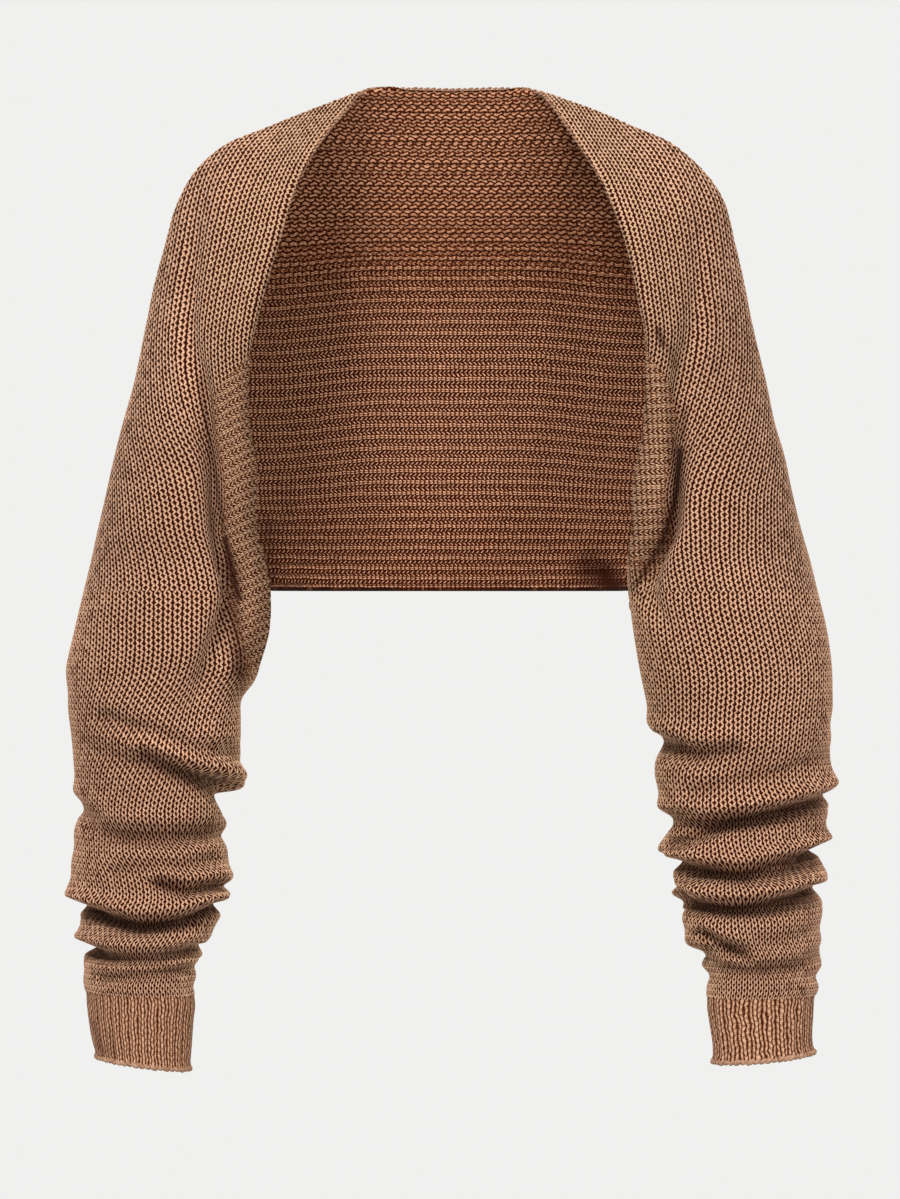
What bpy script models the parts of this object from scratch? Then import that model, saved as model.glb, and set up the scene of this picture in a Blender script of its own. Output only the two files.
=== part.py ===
"""Open-front cropped shrug cardigan, worn form without a wearer.

Chunky cloth knitted from cuff to cuff: the wales lie level across the back, pass over
the shoulders and run down the fronts and sleeves. Each side is one family of cross
sections, from the centre back round the fan of the shoulder and down the sleeve.
A section starts at the front edge, goes round the outside of the arm and ends at the
hem. Metres, +Z up, the front faces -Y, +X is the viewer's right. The origin is midway
between the tops of the shoulders.
"""
import bpy
import numpy as np
from math import pi

NAME = "cropped_cardigan"
MM = 0.001

# Driving sizes
WALL = 3.0 * MM
SEAM_GAP = 0.3 * MM
UNDERARM_SLIT = 4.0 * MM
SLIT_POWER = 8
NOTCH_REACH = 8.0 * MM
CORNER_CUT = 0.014
NECK_SEAM = 0.6 * MM
NECK_TURN = 8.0 * MM
HEM_Z = -318.0
HEM_BACK_Y = 80.0
UNDERARM_X = 138.0
UNDERARM_Y = -4.0
HEM_TURN = 5.0
SLEEVE_INNER_Y = 8.0
FREE_EDGE_DEPTH = 30.0
FREE_EDGE_CHANGE = 25.0
CUFF_RIBS = 24
CUFF_RIB_HEIGHT = 0.9 * MM
CUFF_ROLL = 1.8 * MM
EDGE_ROLL_WIDTH = 14.0 * MM
FOLD_LIP = 0.5
FOLD_LIP_AWAY = 1.9
NO_CREASE = (206, 0, 14)
NECK_FLAT_X = 50.0
NECK_TURN_X = 60.0

# Steps over which the surface's slopes are measured, along and across the sections
STEP_ALONG = 0.4 * MM
STEP_ACROSS = 0.002

# One row for each section, millimetres, X as the distance from the centre line.
# edge: front edge or the innermost line of the sleeve. side: outer silhouette.
# hem_x: where the section ends on the hem (sleeve rows end where they start).
# front, back: how far the cloth stands in front of and behind its edge lines.
# round_side, round_hem: shares of the back half that round at the side and at the hem.
# crease_x, crease_d, crease_w: place, depth and half width of the crease by the front.
# roll: how far the front edge turns back.
COLUMNS = ("edge_x", "edge_y", "edge_z", "side_x", "side_y", "side_z", "hem_x",
           "front", "back", "round_side", "round_hem",
           "crease_x", "crease_d", "crease_w", "roll")

LEFT_BODY = (
    (0, 52, 62.8, 0, 52, 62.8, 0, 0, 36, 0.70, 1.00, 70, 0, 12, 0),
    (32, 50, 63.4, 32, 50, 63.4, 21, 0, 36, 0.66, 1.00, 80, 0, 12, 0),
    (68, 34, 59.0, 68, 34, 59.0, 43, 0, 44, 0.55, 0.95, 95, 0, 12, 0),
    (79, 14, 44.4, 90, 20, 49.0, 52, 1, 50, 0.45, 0.90, 105, 0, 12, 1),
    (91, -6, 27.8, 115, 16, 38.7, 62, 2, 54, 0.40, 0.85, 120, 0, 12, 1.5),
    (103, -24, 8.5, 139, 14, 28.6, 70, 4, 56, 0.36, 0.80, 140, 0, 12, 2),
    (113, -40, -13.3, 172, 12, 14.1, 78, 8, 57, 0.34, 0.75, 168, 0, 14, 2),
    (121, -50, -35.0, 192, 10, -4.2, 86, 14, 58, 0.33, 0.70, 184, 1, 14, 2),
    (128, -57, -59.9, 206, 8, -30.7, 94, 19, 58, 0.33, 0.65, 190, 3, 14, 2),
    (136, -61, -86.7, 214, 7, -59.4, 101, 21, 59, 0.34, 0.60, 193, 5, 13, 2),
    (143, -62, -112.5, 222, 6, -89.6, 108, 22, 60, 0.35, 0.56, 195, 6, 12, 2),
    (149, -60, -137.4, 228, 6, -118.9, 114, 25, 61, 0.37, 0.54, 195, 7, 11, 3),
    (152, -52, -170.8, 237, 7, -162.4, 121, 31, 62, 0.40, 0.52, 186, 11, 9, 6),
    (151, -43, -203.6, 247, 8, -198.4, 126, 37, 62, 0.43, 0.51, 181, 17, 8, 9),
    (147, -36, -226.2, 253, 9, -222.5, 129, 42, 62, 0.45, 0.50, 178, 21, 8, 10),
    (147, -29, -252.7, 259, 10, -249.5, 132, 47, 62, 0.47, 0.50, 174, 24, 8, 10),
    (147, -21, -277.1, 265, 11, -275.1, 134, 51, 61, 0.49, 0.50, 169, 26, 9, 9),
    (142, -12, -296.4, 270, 12, -297.7, 136, 55, 60, 0.50, 0.50, 164, 26, 10, 6),
)
RIGHT_BODY = (
    (0, 52, 62.8, 0, 52, 62.8, 0, 0, 36, 0.70, 1.00, 70, 0, 12, 0),
    (37, 50, 63.4, 37, 50, 63.4, 23, 0, 36, 0.66, 1.00, 80, 0, 12, 0),
    (65, 34, 59.0, 66, 34, 59.0, 43, 0, 44, 0.55, 0.95, 95, 0, 12, 0),
    (75, 14, 47.5, 88, 20, 49.7, 52, 1, 50, 0.45, 0.90, 105, 0, 12, 1),
    (89, -6, 24.8, 112, 16, 40.2, 62, 2, 54, 0.40, 0.85, 120, 0, 12, 1.5),
    (101, -24, 4.1, 136, 14, 29.4, 70, 4, 56, 0.36, 0.80, 140, 0, 12, 2),
    (112, -38, -16.7, 166, 12, 15.6, 78, 8, 57, 0.34, 0.75, 165, 0, 14, 2),
    (120, -48, -36.2, 187, 10, -2.7, 86, 14, 58, 0.33, 0.70, 180, 1, 14, 2),
    (127, -55, -55.3, 202, 8, -24.7, 93, 19, 58, 0.33, 0.65, 184, 2, 14, 2),
    (134, -60, -81.5, 211, 7, -57.9, 100, 21, 59, 0.34, 0.60, 184, 3, 13, 2),
    (139, -62, -108.1, 218, 6, -88.8, 106, 22, 60, 0.35, 0.56, 182, 4, 12, 2),
    (144, -60, -131.5, 224, 6, -119.6, 111, 25, 61, 0.37, 0.54, 178, 6, 11, 3),
    (144, -52, -170.8, 235, 7, -165.4, 117, 31, 62, 0.40, 0.52, 168, 12, 9, 6),
    (144, -43, -196.9, 241, 8, -193.9, 122, 37, 62, 0.43, 0.51, 166, 18, 8, 9),
    (140, -36, -219.6, 248, 9, -217.2, 125, 42, 62, 0.45, 0.50, 165, 22, 8, 10),
    (136, -29, -246.1, 254, 10, -245.0, 127, 47, 62, 0.47, 0.50, 164, 25, 8, 9),
    (136, -21, -274.1, 261, 11, -273.6, 129, 51, 61, 0.49, 0.50, 158, 26, 9, 6),
    (133, -12, -297.9, 268, 12, -297.7, 132, 55, 60, 0.50, 0.50, 146, 22, 10, 3),
)

# One row for each ring of a sleeve, millimetres, X as the distance from the centre.
# depth is half the ring's size from front to back.
RING_COLUMNS = ("in_x", "in_z", "out_x", "out_z", "mid_y", "depth",
                "crease_x", "crease_d", "crease_w")
LEFT_RINGS = (
    (138, -319, 275, -320, 8, 61, 158, 25, 10),
    (139, -349, 282, -349, 9, 62, 166, 21, 12),
    (148, -379, 288, -379, 10, 61, 178, 13, 13),
    (159, -405, 287, -407, 10, 58, 186, 5, 14),
    (161, -432, 284, -432, 10, 56, 192, 0, 14),
    (162, -456, 282, -456, 9, 54, 192, 0, 14),
    (172, -484, 279, -482, 7, 50, 196, 0, 14),
    (170, -508, 282, -506, 1, 50, 196, 0, 14),
    (169, -532, 283, -532, -7, 48, 196, 0, 14),
    (172, -558, 277, -558, -16, 45, 196, 0, 14),
    (186, -580, 272, -580, -24, 40, 200, 0, 14),
    (190, -600, 272, -600, -30, 37, 204, 0, 14),
    (193, -613, 271, -611, -35, 36, 206, 0, 14),
)
RIGHT_RINGS = (
    (134, -320, 273, -320, 8, 61, 144, 10, 12),
    (138, -349, 280, -349, 9, 62, 160, 2, 12),
    (143, -379, 284, -379, 10, 61, 172, 0, 13),
    (149, -407, 284, -407, 10, 59, 178, 0, 14),
    (155, -432, 283, -432, 10, 57, 184, 0, 14),
    (154, -456, 283, -456, 9, 55, 190, 0, 14),
    (161, -484, 282, -480, 6, 53, 192, 0, 14),
    (162, -508, 276, -502, 0, 50, 194, 0, 14),
    (168, -532, 275, -528, -8, 48, 194, 0, 14),
    (171, -558, 274, -556, -16, 45, 196, 0, 14),
    (180, -582, 272, -580, -23, 41, 200, 0, 14),
    (189, -603, 271, -601, -30, 38, 204, 0, 14),
    (190, -614, 270, -614, -34, 36, 206, 0, 14),
)
CUFF_RINGS = {
    "left": ((192, -618, 270, -615, -36, 35), (193, -638, 267, -635, -41, 33),
             (194, -656, 264, -650, -46, 32), (195, -671, 260, -662, -50, 31)),
    "right": ((190, -619, 268, -618, -35, 36), (192, -638, 265, -637, -41, 34),
              (194, -653, 264, -650, -46, 33), (194, -666, 265, -660, -50, 32)),
}

# Creases that run round a sleeve, millimetres: the height and the depth of each at
# the inside, front, outside and back of the arm, and its half width.
FOLD_COLUMNS = ("in_z", "front_z", "out_z", "back_z",
                "in_d", "front_d", "out_d", "back_d", "width")
LEFT_FOLDS = (
    (-401, -380, -396, -412, 2, 1, 1, 7, 9),
    (-477, -450, -436, -466, 12, 6, 0, 9, 8),
    (-484, -492, -482, -492, 3, 2, 6, 7, 7),
    (-502, -500, -512, -516, 4, 5, 1, 5, 7),
    (-541, -536, -548, -536, 7, 1, 1, 7, 5),
    (-553, -565, -554, -566, 8, 11, 8, 5, 6),
    (-583, -590, -584, -582, 4, 3, 11, 6, 5),
    (-596, -604, -600, -600, 3, 1, 1, 4, 5),
)
RIGHT_FOLDS = (
    (-432, -446, -420, -440, 7, 2, 1, 5, 8),
    (-493, -489, -473, -486, 9, 10, 6, 8, 7),
    (-523, -530, -513, -524, 8, 8, 11, 8, 6),
    (-552, -554, -542, -556, 8, 10, 8, 7, 6),
    (-538, -522, -528, -540, 4, 1, 1, 5, 5),
    (-590, -580, -570, -582, 7, 3, 1, 6, 6),
    (-604, -598, -606, -600, 3, 2, 3, 4, 5),
)
FOLDS = {"left": LEFT_FOLDS, "right": RIGHT_FOLDS}
RINGS = {"left": LEFT_RINGS, "right": RIGHT_RINGS}
BODIES = {"left": LEFT_BODY, "right": RIGHT_BODY}
SIGN = {"left": -1.0, "right": 1.0}

# Hollow in the hem beside the right underarm: x, z, radius and depth
HEM_HOLLOW = {"left": (112, -318, 12, 3), "right": (114, -312, 14, 16)}
HOLLOW_START = 0.7
HOLLOW_BLEND = 0.1

SECTION_POINTS = 120
NECK_ROWS = 4
BACK_COLUMNS = 20
FRONT_ROWS = 18
FRONT_COLUMNS = 15
FRONT_START = 15.0 * MM
SLEEVE_ROWS = 30
SLEEVE_COLUMNS = 25
CUFF_ROWS = 5
POINTS_PER_RIB = 3
RIB_FADE = 4
ROLL_PART = 5

# Columns crowd together by the crease: its place and spread as shares of the section
FRONT_CREASE = 0.25
SLEEVE_CREASE = 0.10
CREASE_SPAN = 0.05
CROWDING = 2.0

COLOURS = {
    "back": (0.235, 0.095, 0.038, 1.0),
    "front": (0.340, 0.185, 0.092, 1.0),
    "sleeve": (0.320, 0.168, 0.082, 1.0),
    "cuff": (0.300, 0.155, 0.076, 1.0),
}


def curve_through(at, knots, values):
    """Smooth curve through rows of values, with level-headed slopes at the knots."""
    knots = np.asarray(knots, float)
    values = np.asarray(values, float)
    step = np.diff(knots)
    rise = np.diff(values, axis=0) / step[:, None]
    slope = np.empty_like(values)
    slope[0], slope[-1] = rise[0], rise[-1]
    before, after = step[:-1, None], step[1:, None]
    slope[1:-1] = (rise[:-1] * after + rise[1:] * before) / (before + after)
    at = np.clip(np.asarray(at, float), knots[0], knots[-1])
    i = np.clip(np.searchsorted(knots, at, side="right") - 1, 0, len(step) - 1)
    h = step[i][:, None]
    t = ((at - knots[i]) / step[i])[:, None]
    return ((2 * t**3 - 3 * t**2 + 1) * values[i] + (t**3 - 2 * t**2 + t) * h * slope[i]
            + (3 * t**2 - 2 * t**3) * values[i + 1] + (t**3 - t**2) * h * slope[i + 1])


def hem_y(x):
    """Depth of the hem: level behind the back, turning forward to the underarm."""
    turn = np.clip(x / UNDERARM_X, 0, 1) ** HEM_TURN
    return HEM_BACK_Y + (UNDERARM_Y - HEM_BACK_Y) * turn


def section_table(side):
    """All sections of one side as rows of the same columns, and each row's station."""
    rows = []
    for r in BODIES[side]:
        v = dict(zip(COLUMNS, r))
        past_free = max(v["front"] - FREE_EDGE_DEPTH, 0) / FREE_EDGE_CHANGE
        round_edge = 1.0 - 0.5 * past_free
        rows.append((v["edge_x"], v["edge_y"], v["edge_z"], v["side_x"], v["side_y"],
                     v["side_z"], v["hem_x"], hem_y(v["hem_x"]), HEM_Z, v["front"],
                     v["back"], v["round_side"], v["round_hem"], round_edge,
                     v["crease_x"], v["crease_d"], v["crease_w"], v["roll"]))
    for r in RINGS[side]:
        v = dict(zip(RING_COLUMNS, r))
        rows.append(ring_row(v["in_x"], v["in_z"], v["out_x"], v["out_z"], v["mid_y"],
                             v["depth"], v["crease_x"], v["crease_d"], v["crease_w"]))
    for r in CUFF_RINGS[side]:
        rows.append(ring_row(*r, *NO_CREASE))
    rows = np.array(rows, float)
    ends = rows[:, 0:6].reshape(-1, 2, 3)
    move = np.linalg.norm(np.diff(ends, axis=0), axis=2).mean(axis=1)
    stations = np.concatenate(([0.0], np.cumsum(move))) * MM
    return rows, stations


def ring_row(in_x, in_z, out_x, out_z, mid_y, depth, crease_x, crease_d, crease_w):
    """A closed ring of the sleeve: its section ends where it starts."""
    in_y = mid_y + UNDERARM_Y - SLEEVE_INNER_Y
    return (in_x, in_y, in_z, out_x, mid_y, out_z, in_x, in_y, in_z,
            depth, depth, 0.5, 0.5, 0.5, crease_x, crease_d, crease_w, 0.0)


def arch(share, start, end, power=0.5):
    """Height 0 to 1 of an arch whose two ends are rounded over these shares."""
    def rounded(t, power):
        return (1.0 - (1.0 - np.clip(t, 0, 1)) ** 2) ** power
    return rounded(share / start, power) * rounded((1.0 - share) / end, 0.5)


class Side:
    """The cloth of one side as a surface over (station, place along the section)."""

    def __init__(self, side):
        self.side = side
        self.sign = SIGN[side]
        self.rows, self.stations = section_table(side)
        self.neck = self.stations[2]
        self.underarm = self.stations[len(BODIES[side])]
        self.cuff = self.stations[len(BODIES[side]) + len(RINGS[side])]
        self.end = self.stations[-1]

    def sections(self, at):
        """Dense section lines at these stations, and the share where the side lies."""
        row = curve_through(at, self.stations, self.rows)
        (ex, ey, ez, sx, sy, sz, hx, hy, hz,
         front, back, r_side, r_hem, r_edge) = row[:, :14].T[:, :, None]
        ease = 0.5 - 0.5 * np.cos(np.linspace(0, pi, SECTION_POINTS))[None, :]
        zero = np.zeros_like(front * ease)
        front_y = ey + (sy - ey) * ease - front * arch(ease, r_edge, 0.5 + zero)
        first = np.stack((ex + (sx - ex) * ease, front_y, ez + (sz - ez) * ease), -1)
        power = 0.5 + 0.5 * np.clip(1 - (sx - NECK_FLAT_X) / NECK_TURN_X, 0, 1)
        back_y = sy + (hy - sy) * ease + back * arch(ease, r_side, r_hem, power)
        second = np.stack((sx + (hx - sx) * ease, back_y, sz + (hz - sz) * ease), -1)
        line = np.concatenate((first, second[:, 1:]), axis=1)
        line[..., 0] *= self.sign
        line *= MM
        length = np.linalg.norm(np.diff(line, axis=1), axis=2)
        reach = np.concatenate((np.zeros((len(line), 1)), np.cumsum(length, 1)), 1)
        crease = np.clip((row[:, 14] - row[:, 0]) / np.maximum(row[:, 3] - row[:, 0], 1), 0, 1)
        k = np.arccos(1 - 2 * crease) / pi * (SECTION_POINTS - 1)
        crease_at = np.array([np.interp(k[i], np.arange(reach.shape[1]), reach[i])
                              for i in range(len(line))])
        return line, reach, crease_at, row

    def front_rows(self):
        """Stations of the front's rows, which the back repeats along their seam."""
        return np.linspace(self.neck + FRONT_START, self.underarm, FRONT_ROWS)

    def seam_half(self, at):
        """Half the gap at the shoulder seam, wider at the sharp turn by the neck."""
        sharp = np.exp(-(at - self.neck - FRONT_START) / NECK_TURN)
        return (SEAM_GAP / 2 + NECK_SEAM * np.minimum(sharp, 1))[:, None]

    def side_share(self, at):
        """Share of each section that lies in front of the outer silhouette."""
        reach = self.sections(at)[1]
        return reach[:, SECTION_POINTS - 1] / reach[:, -1]

    def base(self, at, share):
        """Points of the smooth form on a grid of stations and shares."""
        line, reach, crease_at, row = self.sections(at)
        points = np.empty(share.shape + (3,))
        for i in range(len(at)):
            want = share[i] * reach[i, -1]
            for axis in range(3):
                points[i, :, axis] = np.interp(want, reach[i], line[i, :, axis])
        return points, reach[:, -1], crease_at, row

    def grid(self, at, share):
        """Points and outward normals of the folded cloth on the grid."""
        share = share + np.zeros((len(at), 1))
        points, length, crease_at, row = self.base(at, share)
        ahead = self.base(np.minimum(at + STEP_ALONG, self.end), share)[0]
        behind = self.base(np.maximum(at - STEP_ALONG, 0), share)[0]
        more = self.base(at, np.minimum(share + STEP_ACROSS, 1))[0]
        less = self.base(at, np.maximum(share - STEP_ACROSS, 0))[0]
        normal = unit(np.cross(ahead - behind, more - less)) * self.sign
        across = unit(more - less)
        along = ahead - behind
        along = unit(along - across * (along * across).sum(-1, keepdims=True))
        from_edge = share * length[:, None]
        crease = row[:, 15] * MM
        width = row[:, 16] * MM
        groove = crease[:, None] * np.exp(-((from_edge - crease_at[:, None]) / width[:, None]) ** 2)
        points = points - normal * groove[..., None]
        turned = np.clip(1 - from_edge / EDGE_ROLL_WIDTH, 0, 1) ** 2 * row[:, 17][:, None] * MM
        points[..., 1] += turned
        points = points + normal * self.folds(points, share)[..., None]
        x, z, radius, depth = (v * MM for v in HEM_HOLLOW[self.side])
        apart = (np.abs(points[..., 0]) - x) ** 2 + (points[..., 2] - z) ** 2
        behind_arm = np.clip((share - HOLLOW_START) / HOLLOW_BLEND, 0, 1)
        points[..., 1] += depth * np.exp(-apart / radius**2) * behind_arm
        return points, normal, along, across

    def folds(self, points, share):
        """Height of the creases round the sleeve, troughs with a soft lip above."""
        around = np.array((0, 0.25, 0.5, 0.75, 1.0))
        total = np.zeros(points.shape[:2])
        for row in FOLDS[self.side]:
            v = dict(zip(FOLD_COLUMNS, row))
            heights = [[v["in_z"]], [v["front_z"]], [v["out_z"]], [v["back_z"]], [v["in_z"]]]
            depths = [[v["in_d"]], [v["front_d"]], [v["out_d"]], [v["back_d"]], [v["in_d"]]]
            flat = share.ravel()
            z = curve_through(flat, around, heights)[:, 0].reshape(share.shape) * MM
            depth = curve_through(flat, around, depths)[:, 0].reshape(share.shape) * MM
            away = (points[..., 2] - z) / (v["width"] * MM)
            total -= depth * np.exp(-away**2)
            total += FOLD_LIP * depth * np.exp(-(away - FOLD_LIP_AWAY) ** 2)
        return total


def unit(vectors):
    return vectors / np.maximum(np.linalg.norm(vectors, axis=-1, keepdims=True), 1e-12)


def material(name, colour):
    made = bpy.data.materials.new(name)
    made.use_nodes = True
    shader = made.node_tree.nodes["Principled BSDF"]
    shader.inputs["Base Color"].default_value = colour
    shader.inputs["Roughness"].default_value = 0.9
    shader.inputs["Metallic"].default_value = 0.0
    made.diffuse_color = colour
    return made


def wall_object(name, outer, inner, ring, colour, collection):
    """A cloth wall between two grids of points, closed along its rims."""
    rows, columns = outer.shape[:2]
    verts = np.concatenate((outer.reshape(-1, 3), inner.reshape(-1, 3)))
    shift = rows * columns

    def at(i, j, layer):
        return layer * shift + i * columns + j % columns

    faces = []
    wide = columns if ring else columns - 1
    for i in range(rows - 1):
        for j in range(wide):
            faces.append((at(i, j, 0), at(i, j + 1, 0), at(i + 1, j + 1, 0), at(i + 1, j, 0)))
            faces.append((at(i, j, 1), at(i + 1, j, 1), at(i + 1, j + 1, 1), at(i, j + 1, 1)))
    for j in range(wide):
        last = rows - 1
        faces.append((at(0, j, 0), at(0, j, 1), at(0, j + 1, 1), at(0, j + 1, 0)))
        faces.append((at(last, j, 0), at(last, j + 1, 0), at(last, j + 1, 1), at(last, j, 1)))
    if not ring:
        last = columns - 1
        for i in range(rows - 1):
            faces.append((at(i, 0, 0), at(i + 1, 0, 0), at(i + 1, 0, 1), at(i, 0, 1)))
            faces.append((at(i, last, 0), at(i, last, 1), at(i + 1, last, 1), at(i + 1, last, 0)))
    mesh = bpy.data.meshes.new(name)
    mesh.from_pydata([tuple(v) for v in verts], [], faces)
    mesh.materials.append(material(name, COLOURS[colour]))
    if volume(mesh) < 0:
        mesh.flip_normals()
    mesh.shade_smooth()
    mesh.set_sharp_from_angle(angle=0.9)
    made = bpy.data.objects.new(name, mesh)
    collection.objects.link(made)
    return made


def volume(mesh):
    mesh.calc_loop_triangles()
    total = 0.0
    for triangle in mesh.loop_triangles:
        a, b, c = (mesh.vertices[k].co for k in triangle.vertices)
        total += a.dot(b.cross(c))
    return total / 6.0


def trimmed(points, along, first, last):
    """Draws the end rows back by half a seam gap where a neighbour follows."""
    points = points.copy()
    if first:
        points[0] += along[0] * SEAM_GAP / 2
    if last:
        points[-1] -= along[-1] * SEAM_GAP / 2
    return points


def notched(points, corner):
    """Draws the last row back near the underarm, where four edges meet."""
    near = np.exp(-(np.linalg.norm(points[-1] - corner, axis=-1) / NOTCH_REACH) ** 2)
    points[-1] += unit(points[-2] - points[-1]) * (near * UNDERARM_SLIT / 2)[:, None]
    return points


def crowded(count, centre):
    """Shares from 0 to 1, drawn together near the crease."""
    even = np.linspace(0, 1, 400)
    weight = 1 + CROWDING * np.exp(-((even - centre) / CREASE_SPAN) ** 2)
    sums = np.concatenate(([0], np.cumsum((weight[1:] + weight[:-1]) / 2)))
    return np.interp(np.linspace(0, 1, count), sums / sums[-1], even)


def back_piece(sides, collection):
    """The back panel, from the neck and shoulder lines down to the hem."""
    halves = []
    for cloth in sides.values():
        at = np.concatenate((np.linspace(0, cloth.neck, NECK_ROWS),
                             (cloth.neck + FRONT_START / 2,), cloth.front_rows()))
        open_front = np.clip((at - cloth.neck) / FRONT_START, 0, 1)
        start = (cloth.side_share(at) * open_front)[:, None]
        stop = 1 - CORNER_CUT * (at / cloth.underarm)[:, None] ** SLIT_POWER
        share = start + (stop - start) * np.linspace(0, 1, BACK_COLUMNS)[None, :]
        points, normal, along, across = cloth.grid(at, share)
        points[:, 0] += across[:, 0] * (start > 0) * cloth.seam_half(at)
        points = notched(trimmed(points, along, False, True), points[-1, -1])
        halves.append((points, normal))
    points, normal = (np.concatenate((halves[0][k][::-1], halves[1][k][1:])) for k in (0, 1))
    outer, inner = points + normal * WALL / 2, points - normal * WALL / 2
    return wall_object("back", outer, inner, False, "back", collection)


def front_piece(cloth, collection):
    """The front, from the shoulder line to the underarm."""
    at = cloth.front_rows()
    stop = cloth.side_share(at)[:, None]
    share = stop * crowded(FRONT_COLUMNS, FRONT_CREASE)[None, :]
    points, normal, along, across = cloth.grid(at, share)
    points[:, -1] -= across[:, -1] * cloth.seam_half(at)
    points[:, 0, 1] -= UNDERARM_SLIT / 2 * (at / cloth.underarm) ** SLIT_POWER
    points = notched(trimmed(points, along, False, True), points[-1, 0])
    outer, inner = points + normal * WALL / 2, points - normal * WALL / 2
    return wall_object("front_" + cloth.side, outer, inner, False, "front", collection)


def sleeve_piece(cloth, collection):
    """The sleeve from the underarm to the top of the cuff."""
    share = crowded(SLEEVE_COLUMNS, SLEEVE_CREASE)[:-1]
    at = np.linspace(cloth.underarm, cloth.cuff, SLEEVE_ROWS)
    points, normal, along, _ = cloth.grid(at, share)
    points = trimmed(points, along, True, True)
    outer, inner = points + normal * WALL / 2, points - normal * WALL / 2
    return wall_object("sleeve_" + cloth.side, outer, inner, True, "sleeve", collection)


def cuff_piece(cloth, collection):
    """The ribbed cuff, rolled at its lower edge."""
    share = np.arange(CUFF_RIBS * POINTS_PER_RIB) / (CUFF_RIBS * POINTS_PER_RIB)
    at = np.linspace(cloth.cuff, cloth.end, CUFF_ROWS)
    points, normal, along, _ = cloth.grid(at, share)
    points = trimmed(points, along, True, False)
    rib = CUFF_RIB_HEIGHT * (0.5 + 0.5 * np.cos(2 * pi * CUFF_RIBS * share))[None, :, None]
    plain = np.linspace(0, 1, CUFF_ROWS)[:, None, None]
    rib = rib * np.clip((1 - plain) * RIB_FADE, 0, 1)
    rib = rib + CUFF_ROLL * np.clip(1 - (1 - plain) * ROLL_PART, 0, 1)
    outer, inner = points + normal * (WALL / 2 + rib), points - normal * WALL / 2
    return wall_object("cuff_" + cloth.side, outer, inner, True, "cuff", collection)


def main():
    for old in list(bpy.data.objects):
        bpy.data.objects.remove(old, do_unlink=True)
    collection = bpy.data.collections.new(NAME)
    bpy.context.scene.collection.children.link(collection)
    sides = {side: Side(side) for side in ("left", "right")}
    back_piece(sides, collection)
    for cloth in sides.values():
        front_piece(cloth, collection)
        sleeve_piece(cloth, collection)
        cuff_piece(cloth, collection)


main()
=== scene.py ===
"""Open-front cropped shrug cardigan in chunky knit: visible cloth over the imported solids.

The cloth is knitted from cuff to cuff. Its form is the same family of cross sections as
the solids': each side runs from the centre back round the fan of the shoulder and down
the sleeve, and a section starts at the front edge, goes round the outside of the arm and
ends at the hem. A wale is a line of constant share along the sections, and the stitches
are real relief on the outer face. Metres, +Z up, the front faces -Y.
"""

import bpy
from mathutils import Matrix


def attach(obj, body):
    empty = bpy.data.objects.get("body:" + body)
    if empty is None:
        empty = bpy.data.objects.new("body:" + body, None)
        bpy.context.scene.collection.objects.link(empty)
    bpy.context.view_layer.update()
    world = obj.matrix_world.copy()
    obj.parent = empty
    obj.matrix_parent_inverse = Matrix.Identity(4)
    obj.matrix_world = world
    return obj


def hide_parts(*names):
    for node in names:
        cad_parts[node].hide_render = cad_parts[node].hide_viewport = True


bl_info = {
    "name": "Cropped Knit Cardigan",
    "version": (1, 0, 0),
    "blender": (4, 5, 0),
    "location": "View3D > Sidebar > Cardigan",
    "description": "Builds the knitted cloth, edges and stage of a cropped cardigan",
    "category": "Object",
}

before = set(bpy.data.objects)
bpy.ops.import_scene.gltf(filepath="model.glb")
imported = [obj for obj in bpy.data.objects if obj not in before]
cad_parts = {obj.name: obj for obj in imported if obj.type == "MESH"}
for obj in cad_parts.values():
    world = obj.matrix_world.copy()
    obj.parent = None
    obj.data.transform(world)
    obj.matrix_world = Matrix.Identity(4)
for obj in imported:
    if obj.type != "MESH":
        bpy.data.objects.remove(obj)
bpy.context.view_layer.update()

from math import pi

import bpy
import numpy as np
from bpy.props import FloatProperty, FloatVectorProperty, PointerProperty
from mathutils import Vector

MM = 0.001
BODY = "root"
SIDES = ("left", "right")
SIGN = {"left": -1.0, "right": 1.0}

# Driving sizes, in millimetres where they carry no MM
WALL = 3.0 * MM
HEM_Z = -318.0
HEM_BACK_Y = 80.0
UNDERARM_X = 138.0
UNDERARM_Y = -4.0
HEM_TURN = 5.0
SLEEVE_INNER_Y = 8.0
FREE_EDGE_DEPTH = 30.0
FREE_EDGE_CHANGE = 25.0
EDGE_ROLL_WIDTH = 14.0 * MM
FOLD_LIP = 0.5
FOLD_LIP_AWAY = 1.9
NO_CREASE = (206, 0, 14)
NECK_FLAT_X = 50.0
NECK_TURN_X = 60.0

# Steps over which the surface's slopes are measured, along and across the sections
STEP_ALONG = 0.4 * MM
STEP_ACROSS = 0.002

# One row for each section, millimetres, X as the distance from the centre line.
# edge: front edge or the innermost line of the sleeve. side: outer silhouette.
# hem_x: where the section ends on the hem (sleeve rows end where they start).
# front, back: how far the cloth stands in front of and behind its edge lines.
# round_side, round_hem: shares of the back half that round at the side and at the hem.
# crease_x, crease_d, crease_w: place, depth and half width of the crease by the front.
# roll: how far the front edge turns back.
COLUMNS = ("edge_x", "edge_y", "edge_z", "side_x", "side_y", "side_z", "hem_x",
           "front", "back", "round_side", "round_hem",
           "crease_x", "crease_d", "crease_w", "roll")

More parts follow.
